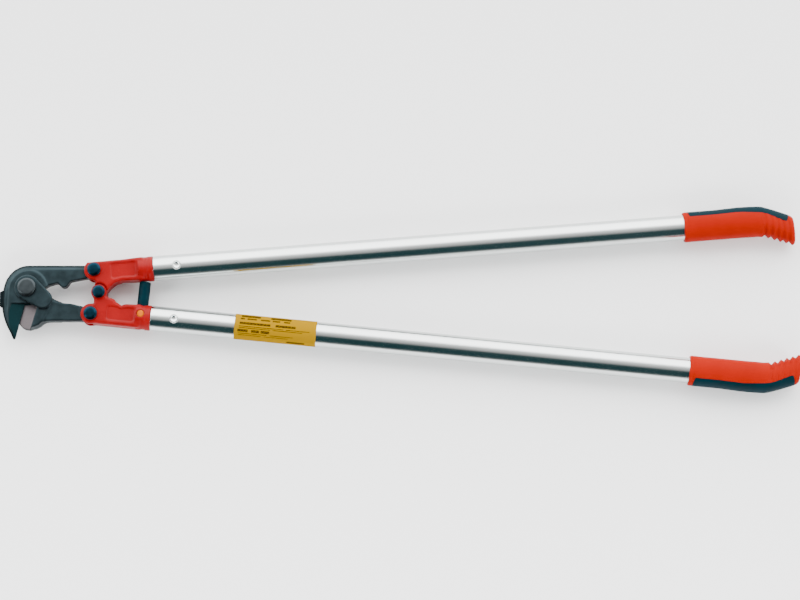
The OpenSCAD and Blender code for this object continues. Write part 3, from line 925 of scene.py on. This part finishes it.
def upper_arm_shape(x, y, z):
    """Upper arm: one slab forked at the toggle pin, with a tongue at the centre hinge and
    a round collar for the tube."""
    flat = in_plan(x, y, outline(
        arc(UPPER_TOGGLE, BOSS_R, 133, 254, 16), [79.5, 8.6], [81, 6.4], [80.6, 4],
        arc(CENTRE_HINGE, EAR_R + 0.3, 118, 30, 12), [94.6, -4.2], [98.6, 1.2],
        [104.6, 6.2], arc([114.5, -2.4], 11.2, 118, 92, 5), [142, 9.6], [142, 38.0],
        [110.6, 33.9]))
    arm = slab(flat, z, ARM_LOW, ARM_HIGH, sizes().arm_round / MM)
    arm = arm_panels(arm, flat, x, y, z, UPPER_START, UPPER_ALONG, ((-50, -21), (-9.5, 8.5)))
    arm = with_collar(arm, x, y, z, UPPER_START, UPPER_ALONG)
    # The lower arm's ears close over the tongue
    ear_room = np.maximum(disc(x, y, CENTRE_HINGE, EAR_R + 0.4),
                          TAIL_HALF - np.abs(z - MID_Z))
    arm = cut(arm, ear_room, 0.3)
    tongue = together(disc(x, y, CENTRE_HINGE, EAR_R), in_plan(x, y, outline(
        [79.5, 2], [81, 12], [97, 12], [95, -3], CENTRE_HINGE)))
    arm = together(arm, slab(tongue, z, TAIL_LOW, TAIL_HIGH, 0.5))
    # The fork: room for the hook jaw's tail with the handles closed and fully open
    dx, dy = x - UPPER_TOGGLE[0], y - UPPER_TOGGLE[1]
    tx, ty = tilted(x, y, UPPER_TOGGLE, facing(HOOK_SWING))
    fork = together(disc(dx, dy, (0, 0), TAIL_R + 2.3), block(tx, ty, (15, -2.5), (15, 27.5)),
                    block(dx, dy, (-15, 1), (15, 14)))
    arm = cut(arm, np.maximum(fork, np.abs(z - MID_Z) - SLOT_HALF), 0.4)
    return cut(arm, together(disc(x, y, UPPER_TOGGLE, TOGGLE_HOLE_R),
                             disc(x, y, CENTRE_HINGE, TOGGLE_HOLE_R)), 0.3)


def lower_arm_shape(x, y, z):
    """Lower arm: one slab forked at the toggle pin, with two ears at the centre hinge, a
    socket for the buffer and a round collar for the tube."""
    flat = in_plan(x, y, outline(
        [77.9, -9.6], [79.4, -15], [79, -18.6], arc(LOWER_TOGGLE, BOSS_R, 80, 262, 18),
        [80.7, -42.6], [108, -45.4], [141.8, -49.0], [141.8, -20.8],
        arc([118.5, -31.2], 11.4, 92, 122, 5), [106.2, -17.6], [103, -13.6],
        [97.6, -12], [93.2, -9.4], CENTRE_HINGE))
    arm = slab(flat, z, ARM_LOW, ARM_HIGH, sizes().arm_round / MM)
    arm = join(arm, slab(disc(x, y, CENTRE_HINGE, EAR_R), z, ARM_LOW, ARM_HIGH, 1.2), 1.6)
    arm = arm_panels(arm, flat, x, y, z, LOWER_START, LOWER_ALONG, ((-52, -20), (-8, 8)))
    arm = with_collar(arm, x, y, z, LOWER_START, LOWER_ALONG)
    # The fork: room for the upper arm's tongue, and for the blade jaw's tail with the
    # handles closed and fully open
    dx, dy = x - LOWER_TOGGLE[0], y - LOWER_TOGGLE[1]
    hx, hy = x - CENTRE_HINGE[0], y - CENTRE_HINGE[1]
    tx, ty = tilted(x, y, LOWER_TOGGLE, facing(BLADE_SWING))
    fork = together(disc(hx, hy, (0, 0), EAR_R + 0.6), block(hx, hy, (0, 5), (12, 7)),
                    disc(dx, dy, (0, 0), TAIL_R + 0.8), block(dx, dy, (-15, -4), (15, 16)),
                    block(tx, ty, (-15, -4.8), (15, 4.8)))
    arm = cut(arm, np.maximum(fork, np.abs(z - MID_Z) - SLOT_HALF), 0.4)
    # The buffer's socket, from 12 mm inside the arm to well past its outline
    foot, across = buffer_axis()
    reach, aside = tilted(x, y, foot, across)
    socket = np.maximum(np.hypot(aside, z - MID_Z) - BUFFER_R - 0.1,
                        np.maximum(-12 - reach, reach - 20))
    arm = cut(arm, socket, 0.5)
    countersink = np.maximum(disc(x, y, box_centre("buffer_pin")[:2], BUFFER_CAP_R + 0.2),
                             ARM_HIGH - 1.4 - z)
    return cut(arm, together(disc(x, y, LOWER_TOGGLE, TOGGLE_HOLE_R),
                             disc(x, y, CENTRE_HINGE, TOGGLE_HOLE_R), countersink), 0.4)


def buffer_axis():
    """A point on the buffer's axis where it leaves the lower arm, and its direction: it
    is square to the lower handle."""
    middle = box_centre("stop_buffer")[:2]
    across = np.array([-LOWER_ALONG[1], LOWER_ALONG[0]])
    return middle - across * 4.6, across


class CUTTER_OT_arms(bpy.types.Operator):
    """Forges the two toggle arms"""

    bl_idname = "cutter.arms"
    bl_label = "Arms"

    def execute(self, context):
        for name, shape, body, start in (
                ("upper_arm", upper_arm_shape, "upper_handle", UPPER_START),
                ("lower_arm", lower_arm_shape, "lower_handle", LOWER_START)):
            # The spigot inside the tube is left out
            low, high = box_mm(name)
            high[0] = start[0] + 2
            low[2], high[2] = MID_Z - TUBE_R, MID_Z + TUBE_R
            add_forging(name + "_forging", shape, low, high, stoved_enamel, body,
                        "arm_paint", [name])
        return {"FINISHED"}


# ---------------------------------------------------------------- fasteners

def bolt_profile(shank_r, head_r, flat_r, foot, seat, top):
    """A bolt from its end up: pointed end, shank, and a head whose top slopes from its
    rim to a flat disc in the middle."""
    rim = top - (head_r - flat_r) * 0.55
    return eased([(0, foot), (shank_r - 0.8, foot), (shank_r, foot + 0.8), (shank_r, seat),
                  (head_r, seat), (head_r, rim), (flat_r, top), (0, top)], 0.35, 3)


def hexagon_nut(at, across_flats, bore_r, low, high):
    """A nut: round the axis the radius is that of a hexagon, never more than a curve that
    rounds its corners off at both faces, and the bore closes the section."""
    angle = np.linspace(0, 2 * math.pi, 97)[:-1]
    hexagon = across_flats / 2 / np.cos((angle + math.pi / 6) % (math.pi / 3) - math.pi / 6)
    height = np.concatenate([[low], np.linspace(low, low + 1.4, 6),
                             np.linspace(high - 1.4, high, 6), [high]])
    edge = np.minimum(height - low, high - height)
    corner = across_flats / 2 + np.sqrt(np.maximum(edge, 0) * 2.2)
    radius = np.minimum(hexagon[None, :], corner[:, None])
    radius[0], radius[-1] = bore_r, bore_r
    points = np.stack([at[0] + radius * np.cos(angle), at[1] + radius * np.sin(angle),
                       np.broadcast_to(height[:, None], radius.shape)], axis=-1)
    return points.reshape(-1, 3), grid_faces(len(height), 96, closed_rows=True,
                                             closed_columns=True)


def washer_profile(radius, bore_r, low, high):
    """A washer's section: an oblong with eased corners, from the bore round and back."""
    return eased([(bore_r, (low + high) / 2), (bore_r, low), (radius, low),
                  (radius, high), (bore_r, high), (bore_r, (low + high) / 2)], 0.25, 3)


def add_stack(bolt_node, washer_node, nut_node, head, body, maker):
    """A bolt, its washer and its nut, from the sizes of their CAD nodes and from the radii
    of shank, head and flat and the nut's width across flats."""
    shank_r, head_r, flat_r, across_flats = head
    low, high = box_mm(bolt_node)
    at = axis_foot(bolt_node)
    washer_low, washer_high = box_mm(washer_node)
    nut_low, nut_high = box_mm(nut_node)
    seat = STRAP_HIGH if bolt_node == "main_pivot_bolt" else ARM_HIGH
    shapes = (
        (bolt_node, revolve(bolt_profile(shank_r, head_r, flat_r, low[2], seat, high[2]),
                            at, UP)),
        (washer_node, revolve(washer_profile((washer_high - washer_low)[0] / 2,
                                             shank_r + 0.05, washer_low[2], washer_high[2]),
                              at, UP)),
        (nut_node, hexagon_nut(at, across_flats, shank_r + 0.05, nut_low[2], nut_high[2])))
    for node, (points, faces) in shapes:
        piece = add_piece(node + "_turned", points, faces, maker, body, [node])
        sharpen(piece, 35)


class CUTTER_OT_bolts(bpy.types.Operator):
    """Turns the pivot bolt, the three toggle bolts and their washers and nuts"""

    bl_idname = "cutter.bolts"
    bl_label = "Bolts, washers and nuts"

    def execute(self, context):
        for bolt, stem, body, head, maker, slot in (
                ("main_pivot_bolt", "pivot", "blade_jaw", (6.0, 10.7, 8.6, 19.0),
                 pivot_steel, "pivot_steel"),
                ("upper_toggle_bolt", "upper_toggle", "upper_handle", (4.0, 8.0, 5.4, 13.0),
                 black_oxide, "black_fastener"),
                ("lower_toggle_bolt", "lower_toggle", "lower_handle", (4.0, 8.0, 5.4, 13.0),
                 black_oxide, "black_fastener"),
                ("centre_hinge_bolt", "centre_hinge", "lower_handle", (4.0, 7.5, 5.0, 13.0),
                 black_oxide, "black_fastener")):
            add_stack(bolt, stem + "_washer", stem + "_nut", head, body, maker)
        dowel = frame["nodes"]["strap_dowel"]
        dowel.data.materials.clear()
        dowel.data.materials.append(material_of(pivot_steel))
        return {"FINISHED"}


# ---------------------------------------------------------------- tubes, pins, label

TUBE_WALL = 2.0
LABEL_SPAN = 194


def add_uv(piece, name, across, along):
    """A UV map from one pair of numbers per vertex."""
    mesh = piece.data
    corners = np.empty(len(mesh.loops), int)
    mesh.loops.foreach_get("vertex_index", corners)
    layer = mesh.uv_layers.new(name=name)
    layer.data.foreach_set("uv", np.stack([across[corners], along[corners]], 1).ravel())


def with_pin_hole(points, side, along):
    """Pushes the tube's wall in where the pin comes through, at top and bottom: an S-curve
    from the wall, 5 mm from the pin's axis, down to 1.2 mm under the pin's rim."""
    offset = points - np.append(box_centre(side + "_tube_pin")[:2], MID_Z)
    reach = np.hypot(offset @ along, offset @ np.array([-along[1], along[0], 0]))
    outside = np.hypot(offset @ np.array([-along[1], along[0], 0]), offset[:, 2]) > TUBE_R - 1
    sink = 1.2 * (1 - smooth_ramp(reach, 4.0, 5.0)) * outside
    points[:, 2] -= sink * np.sign(offset[:, 2])
    return points


def pin_profile(low, high):
    """A pin swaged at both ends: a rim that stands just above the tube round a dish."""
    dish = np.linspace(0, 1, 10)[:, None]
    bowl = np.hstack([3.45 * dish, -1.15 * (1 - dish ** 2.4)])
    rim = eased([(3.45, 0), (3.6, 0.12), (3.95, 0.02), (3.95, -0.7), (3.2, -2)], 0.2, 3)
    end = np.vstack([bowl, rim])
    return np.vstack([end * [1, -1] + [0, low], (end + [0, high])[::-1]])


def handle_coordinates(piece, start, along):
    """Each vertex's distance along a handle and its angle round it, 0 at the top."""
    offset = mesh_points(piece.data) - start
    side = np.array([-along[1], along[0], 0])
    return offset @ along, np.arctan2(offset @ side, offset[:, 2])


class CUTTER_OT_handles(bpy.types.Operator):
    """Draws the two tubes with the dished pins that hold them, and wraps the label"""

    bl_idname = "cutter.handles"
    bl_label = "Tubes, pins and label"

    def execute(self, context):
        bore_r, length = TUBE_R - TUBE_WALL, TUBE_LEN
        # The rings crowd together round the pin's hole
        stations = np.unique(np.concatenate([
            np.linspace(8, length - 8, 90), np.linspace(21.5, 34.5, 46)]))
        profile = np.vstack([
            eased([(bore_r, 8), (bore_r, 0.05), (TUBE_R, 0.05), (TUBE_R, 8)], 0.4, 4),
            np.stack([np.full(len(stations), TUBE_R), stations], 1),
            eased([(TUBE_R, length - 8), (TUBE_R, length), (bore_r, length),
                   (bore_r, length - 8)], 0.4, 4),
            [(bore_r, 8)]])
        for side, start, along in (("upper", UPPER_START, UPPER_ALONG),
                                   ("lower", LOWER_START, LOWER_ALONG)):
            body = side + "_handle"
            points, faces = revolve(profile, start, along, 160)
            points = with_pin_hole(points, side, along)
            tube = add_piece(side + "_tube_drawn", points, faces, anodised_aluminium, body,
                             [side + "_tube"])
            u, angle = handle_coordinates(tube, start, along)
            add_uv(tube, "tube", u * MM, np.abs(angle) * TUBE_R * MM)
            # The pin's ends are bent to the tube's round
            at = axis_foot(side + "_tube_pin")
            points, faces = revolve(pin_profile(MID_Z - TUBE_R, MID_Z + TUBE_R), at, UP, 56)
            across = (points - at) @ np.array([-along[1], along[0], 0])
            drop = TUBE_R - np.sqrt(TUBE_R ** 2 - across ** 2)
            points[:, 2] -= drop * np.clip((points[:, 2] - MID_Z) / 8, -1, 1)
            add_piece(side + "_tube_pin_swaged", points, faces, zinc_plate, body,
                      [side + "_tube_pin"])
        self.add_label()
        return {"FINISHED"}

    def add_label(self):
        """A thin film round part of the tube: its outer face is the tube's radius and a
        little more, at an angle that runs with the columns."""
        low, high = box_mm("rating_label")
        middle = (box_centre("rating_label") - LOWER_START) @ LOWER_ALONG
        length = ((high - low)[0] - 2 * TUBE_R * abs(LOWER_ALONG[1])) / LOWER_ALONG[0]
        u = np.linspace(middle - length / 2, middle + length / 2, 60)
        angle = np.radians(np.linspace(-LABEL_SPAN / 2, LABEL_SPAN / 2, 64))
        side = np.array([-LOWER_ALONG[1], LOWER_ALONG[0], 0])
        sheets = []
        for radius in (TUBE_R + 0.18, TUBE_R + 0.03):
            ring = radius * (np.sin(angle)[None, :, None] * side
                             + np.cos(angle)[None, :, None] * UP)
            sheets.append(LOWER_START + u[:, None, None] * LOWER_ALONG + ring)
        outer, inner = sheets
        loop = np.concatenate([outer, inner[:, ::-1]], axis=1)
        label = add_piece("rating_label_film", loop.reshape(-1, 3),
                          sheet_faces(*loop.shape[:2]), label_film, "lower_handle",
                          ["rating_label"])
        along, turn = handle_coordinates(label, LOWER_START, LOWER_ALONG)
        add_uv(label, "label", (along - u[0]) / (u[-1] - u[0]),
               turn / math.radians(LABEL_SPAN) + 0.5)


# ---------------------------------------------------------------- grips

# Distances along a grip are from its mouth. The bore's wall is drawn 60 mm deep and then
# closed by a disc: the tube, which runs deeper than that, hides the disc
GRIP_LEN = 130.6
GRIP_R = 17.5
GRIP_COLUMNS = 128
GRIP_BORE_END = 60.0
BED_DEPTH, PAD_DEPTH = 1.5, 1.45
GRIP_OUTER = np.array([
    (0, 17.9), (8, 17.7), (37, 17.7), (64, 18.8), (79, 18.6), (91, 18.0), (96, 16.9),
    (103, 14.4), (114, 10.1), (124, 5.9), (131, 2.6)])
GRIP_INNER = np.array([
    (0, -17.9), (8, -17.7), (60, -17.7), (88, -17.9), (95, -18.8), (100.5, -20.4),
    (107.5, -23.4), (114, -26.2), (120.8, -28.4), (127.5, -31.2), (131, -31.6)])
GRIP_VALLEYS = (96.4, 103.8, 110.8, 117.4, 124.3)


def curve(u, points):
    """A smooth curve through points: straight pieces, averaged over 6 mm of length."""
    spread = np.linspace(-3, 3, 13)
    weight = np.cos(spread / 3 * math.pi / 2) ** 2
    return sum(w * np.interp(u + d, *points.T) for d, w in zip(spread, weight)) / weight.sum()


def grip_section(u):
    """The grip's middle line across the handle, its half width and its half thickness at
    a distance u from its mouth: straight over the tube, then bending inwards."""
    outer, inner = curve(u, GRIP_OUTER), curve(u, GRIP_INNER)
    half_thick = 17.4 - 3.2 * smooth_ramp(u, 90, GRIP_LEN)
    end = np.clip((u - (GRIP_LEN - 3.2)) / 3.2, 0, 1)
    close = 1 - 3.0 * (1 - np.sqrt(np.maximum(1 - end ** 2, 0))) / 17
    mouth = 1 - 0.03 * (1 - smooth_ramp(u, 0, 2.5))
    return (outer + inner) / 2, (outer - inner) / 2 * close * mouth, half_thick * close * mouth


def grip_surface(u, angle, ribs):
    """A point on the grip: a slightly square oval, crossed on its inner side by grooves
    that fade out on the way round to the outer side."""
    centre, half_width, half_thick = grip_section(u)
    depth = sizes().rib_depth / MM
    near = np.min([np.abs(u - valley) for valley in GRIP_VALLEYS], axis=0)
    groove = np.clip(1 - near / 3.1, 0, 1) ** 0.9
    inner = -np.sin(angle)
    sink = depth * groove * (0.45 * smooth_ramp(inner, -0.6, -0.25)
                             + 0.55 * smooth_ramp(inner, 0.2, 0.85))
    if not ribs:
        sink = 0 * sink
    squarish = 1 + 0.045 * np.sin(2 * angle) ** 2
    across = centre + (half_width * squarish - sink) * np.sin(angle)
    up = (half_thick * squarish - sink) * np.cos(angle)
    return across, up


def pad_border(u):
    """Half the angle that the soft pad takes up round the outer side, along the grip: it
    opens with a round end, runs level, and widens a little where the grip bends."""
    level = math.radians(57) + math.radians(6) * smooth_ramp(u, 60, 92)
    level = level + math.radians(6) * smooth_ramp(u, 96, 122)
    start = np.clip((u - 5.0) / 3.0, 0, 1)
    stop = np.clip((GRIP_LEN - 5.0 - u) / 5.0, 0, 1)
    return level * np.sqrt(1 - (1 - start) ** 2) * np.sqrt(1 - (1 - stop) ** 2)


def add_shell(side, place, u, border, along):
    """The shell. Its columns run from one side of the pad round the inner side to the
    other, and then over the shallow bed in which the pad lies."""
    share = np.linspace(0, 1, GRIP_COLUMNS // 2)[None, :]
    angle = math.pi / 2 + border + (2 * math.pi - 2 * border) * share
    bed = math.pi / 2 - border + 2 * border * np.linspace(0, 1, 40)[None, 1:-1]
    shell = np.concatenate([angle, bed], axis=1)
    sunk = np.concatenate([0 * angle, np.ones_like(bed) * (border > 0.05)], axis=1)
    across, up = grip_surface(u, shell, True)
    centre = grip_section(u)[0]
    thin = 1 - sunk * BED_DEPTH / GRIP_R
    across, up = centre + (across - centre) * thin, up * thin
    outer = place(np.broadcast_to(u, across.shape), across, up)
    # Inner wall, from the mouth to the disc that closes it
    wall_u = np.array([0.0, 0.0, GRIP_BORE_END])[:, None]
    bore = np.array([TUBE_R + 0.9, TUBE_R + 0.05, TUBE_R + 0.05])[:, None]
    ring = shell[:1] + 0 * wall_u
    wall = place(np.broadcast_to(wall_u, ring.shape), bore * np.sin(ring),
                 bore * np.cos(ring))
    nothing = np.zeros((1, 1))
    floor = np.broadcast_to(place(nothing + GRIP_BORE_END, nothing, nothing),
                            (1, outer.shape[1], 3))
    # Closed end: rings that shrink to its middle, and stand out by up to 0.25 mm
    far = place(u[-1:], centre[-1:], nothing)
    end = [far + (outer[-1:] - far) * share_left + along * rise
           for share_left, rise in ((0.93, 0.15), (0.6, 0.25), (0.3, 0.25), (0.0, 0.25))]
    grid = np.concatenate([floor, wall[::-1], outer, *end], axis=0)
    piece = add_piece(side + "_grip_shell", grid.reshape(-1, 3),
                      grid_faces(*grid.shape[:2], closed_columns=True),
                      moulded_polypropylene, side + "_handle",
                      [side + "_grip"])
    sharpen(piece, 50)


def add_pad(side, place, u, border):
    """The pad: its outer face level with the shell, crowned and with a rounded border, and its
    underside just clear of the bed."""
    spread = np.linspace(-1, 1, 46)[None, :]
    across, up = grip_surface(u, math.pi / 2 - spread * border * 0.985, False)
    centre = grip_section(u)[0]
    crown = 0.25 * (1 - np.abs(spread) ** 6) - 0.35 * np.abs(spread) ** 12
    top, under = (
        place(np.broadcast_to(u, across.shape), centre + (across - centre) * scale,
              up * scale)
        for scale in (1 + (crown - 0.1) / GRIP_R, 1 - PAD_DEPTH / GRIP_R))
    loop = np.concatenate([top, under[:, ::-1]], axis=1)
    piece = add_piece(side + "_grip_soft_pad", loop.reshape(-1, 3),
                      sheet_faces(*loop.shape[:2]), soft_elastomer, side + "_handle",
                      [side + "_grip_pad"])
    sharpen(piece, 50)


def add_grip(side, start, along, outward):
    """A shell and its pad. Outward is the side, left or right of the handle's direction,
    on which the pad lies."""
    mouth = (box_mm(side + "_grip")[0][0] - start[0]) / along[0] + TUBE_R * abs(along[1])
    out = np.array([-along[1], along[0], 0]) * outward

    def place(along_u, across_v, up_w):
        return (start + (mouth + along_u)[..., None] * along
                + across_v[..., None] * out + up_w[..., None] * UP)

    u = np.unique(np.concatenate([
        np.linspace(0, 4, 7), np.linspace(4, 92, 60), np.linspace(92, GRIP_LEN - 3.2, 90),
        np.linspace(5, 8, 9), np.linspace(GRIP_LEN - 10, GRIP_LEN - 5, 12),
        GRIP_LEN - 3.2 + 3.2 * np.sin(np.linspace(0, math.pi / 2, 9))]).round(4))[:, None]
    border = pad_border(u)
    add_shell(side, place, u, border, along)
    kept = border[:, 0] > 0.03
    add_pad(side, place, u[kept], border[kept])


class CUTTER_OT_grips(bpy.types.Operator):
    """Moulds the two grips with their soft pads"""

    bl_idname = "cutter.grips"
    bl_label = "Grips"

    def execute(self, context):
        add_grip("upper", UPPER_START, UPPER_ALONG, 1)
        add_grip("lower", LOWER_START, LOWER_ALONG, -1)
        return {"FINISHED"}


class CUTTER_OT_buffer(bpy.types.Operator):
    """Moulds the rubber buffer and turns the capped pin that holds it"""

    bl_idname = "cutter.buffer"
    bl_label = "Buffer and its pin"

    def execute(self, context):
        foot, across = buffer_axis()
        start = np.array([foot[0], foot[1], MID_Z])
        profile = eased([(0, -12), (BUFFER_R - 0.2, -12), (BUFFER_R, -1), (BUFFER_R, 20),
                         (BUFFER_R, 26.9), (0, 27.1)], 1.2, 5)
        points, faces = revolve(profile, start, np.append(across, 0), 64)
        buffer = add_piece("stop_buffer_moulded", points, faces, buffer_rubber,
                           "lower_handle", ["stop_buffer"])
        sharpen(buffer, 60)
        foot_z, top = (corner[2] for corner in box_mm("buffer_pin"))
        cap = eased([(0, foot_z), (2.5, foot_z), (2.5, top - 2.0),
                     (BUFFER_CAP_R, top - 2.0), (BUFFER_CAP_R, top - 0.5),
                     (BUFFER_CAP_R - 1, top), (0, top)], 0.45, 4)
        points, faces = revolve(cap, axis_foot("buffer_pin"), UP, 48)
        pin = add_piece("buffer_pin_cap", points, faces, amber_plastic, "lower_handle",
                        ["buffer_pin"])
        sharpen(pin, 60)
        return {"FINISHED"}


# ---------------------------------------------------------------- stage

VIEW_TILT = math.radians(9.5)
VIEW_DISTANCE = 3.3
VIEW_WIDTH = 0.9504
VIEW_CENTRE = Vector((0.442, -0.01333, 0.0175))


class CUTTER_OT_stage(bpy.types.Operator):
    """Lays a pale floor, hangs soft studio lights and sets the camera"""

    bl_idname = "cutter.stage"
    bl_label = "Floor, lights and camera"

    def execute(self, context):
        self.add_floor()
        self.add_sky()
        for name, place, size, power, aim in (
                ("left_softbox", (-1.9, -0.9, 1.4), 0.7, 28, (0.05, 0, 0)),
                ("right_softbox", (3.0, -1.5, 1.6), 1.0, 60, (0.7, 0, 0)),
                ("front_fill", (0.45, -2.6, 1.3), 1.8, 115, (0.45, 0, 0))):
            self.add_softbox(name, place, size, power, aim)
        camera = bpy.data.cameras.new("camera")
        camera.sensor_width = 36
        camera.lens = camera.sensor_width * VIEW_DISTANCE / VIEW_WIDTH
        camera.clip_end = 50
        eye = bpy.data.objects.new("camera", camera)
        back = Vector((0, -math.sin(VIEW_TILT), math.cos(VIEW_TILT)))
        eye.location = VIEW_CENTRE + back * VIEW_DISTANCE
        eye.rotation_euler = (VIEW_TILT, 0, 0)
        context.scene.collection.objects.link(eye)
        context.scene.camera = eye
        return {"FINISHED"}

    def add_floor(self):
        """A level sheet under the tool, of matt white paper."""
        material, _, surface = new_material("matt_white_paper", Roughness=0.9)
        surface.inputs["Base Color"].default_value = (0.92, 0.92, 0.92, 1)
        half = 12.0
        mesh = bpy.data.meshes.new("floor")
        mesh.from_pydata([(-half, -half, 0), (half, -half, 0), (half, half, 0),
                          (-half, half, 0)], [], [(0, 1, 2, 3)])
        floor = bpy.data.objects.new("floor", mesh)
        mesh.materials.append(material)
        bpy.context.scene.collection.objects.link(floor)

    def add_sky(self):
        """An even pale surround with a dark strip to the -Y side, which bright metal
        mirrors as one soft dark line."""
        world = bpy.data.worlds.new("studio")
        bpy.context.scene.world = world
        world.use_nodes = True
        tree = world.node_tree
        place = add_node(tree, "ShaderNodeTexCoord")
        split = add_node(tree, "ShaderNodeSeparateXYZ",
                         inputs={"Vector": (place, "Generated")})
        front = add_node(tree, "ShaderNodeMath", {"operation": "MULTIPLY"},
                         {0: (split, "Y"), 1: -1})
        turn = add_node(tree, "ShaderNodeMath", {"operation": "ARCTAN2"},
                        {0: (front, "Value"), 1: (split, "Z")})
        share = add_node(tree, "ShaderNodeMapRange", inputs={
            "Value": (turn, "Value"), "From Min": -math.pi / 2, "From Max": math.pi / 2})

        def at(degrees):
            return (degrees + 90) / 180

        shade = (0.002, 0.0085, 0.0095, 1)
        ramp = add_node(
            tree, "ShaderNodeValToRGB", inputs={"Fac": (share, "Result")},
            stops=[(at(-89), 0.8), (at(-60), 1.0), (at(-30), 1.0), (at(-17), 0.3),
                   (at(-8), 0.17), (at(6), 0.10), (at(15), 0.06), (at(25), shade),
                   (at(69), shade), (at(82), 0.05), (at(89), 0.1)])
        sky = tree.nodes["Background"]
        sky.inputs["Strength"].default_value = 7.5
        tree.links.new(ramp.outputs["Color"], sky.inputs["Color"])

    def add_softbox(self, name, place, size, power, aim):
        light = bpy.data.lights.new(name, "AREA")
        light.energy = power
        light.size = size
        lamp = bpy.data.objects.new(name, light)
        lamp.location = place
        lamp.rotation_euler = (Vector(aim) - Vector(place)).to_track_quat("-Z", "Y").to_euler()
        # Bright metal mirrors the surround and the softboxes, but not the fill
        lamp.visible_glossy = name != "front_fill"
        bpy.context.scene.collection.objects.link(lamp)


# ---------------------------------------------------------------- panel and registration

OPERATORS = (CUTTER_OT_jaws, CUTTER_OT_arms, CUTTER_OT_bolts, CUTTER_OT_handles,
             CUTTER_OT_grips, CUTTER_OT_buffer, CUTTER_OT_stage)


class CUTTER_PT_panel(bpy.types.Panel):
    """Lists the cutter's pieces in the sidebar"""

    bl_idname = "CUTTER_PT_panel"
    bl_label = "Bar and mesh cutter"
    bl_space_type = "VIEW_3D"
    bl_region_type = "UI"
    bl_category = "Cutter"

    def draw(self, context):
        for group in (context.scene.cutter_sizes, context.scene.cutter_colours):
            for name in group.bl_rna.properties.keys():
                if name not in ("rna_type", "name"):
                    self.layout.prop(group, name)
        for operator in OPERATORS:
            self.layout.operator(operator.bl_idname)


CLASSES = (CUTTER_PG_sizes, CUTTER_PG_colours, *OPERATORS, CUTTER_PT_panel)


def register():
    for cls in CLASSES:
        bpy.utils.register_class(cls)
    bpy.types.Scene.cutter_sizes = bpy.props.PointerProperty(type=CUTTER_PG_sizes)
    bpy.types.Scene.cutter_colours = bpy.props.PointerProperty(type=CUTTER_PG_colours)


def unregister():
    del bpy.types.Scene.cutter_colours
    del bpy.types.Scene.cutter_sizes
    for cls in reversed(CLASSES):
        bpy.utils.unregister_class(cls)


def main():
    register()
    for build in (bpy.ops.cutter.stage, bpy.ops.cutter.jaws, bpy.ops.cutter.arms,
                  bpy.ops.cutter.bolts, bpy.ops.cutter.handles, bpy.ops.cutter.grips,
                  bpy.ops.cutter.buffer):
        build()


if __name__ == "__main__":
    main()
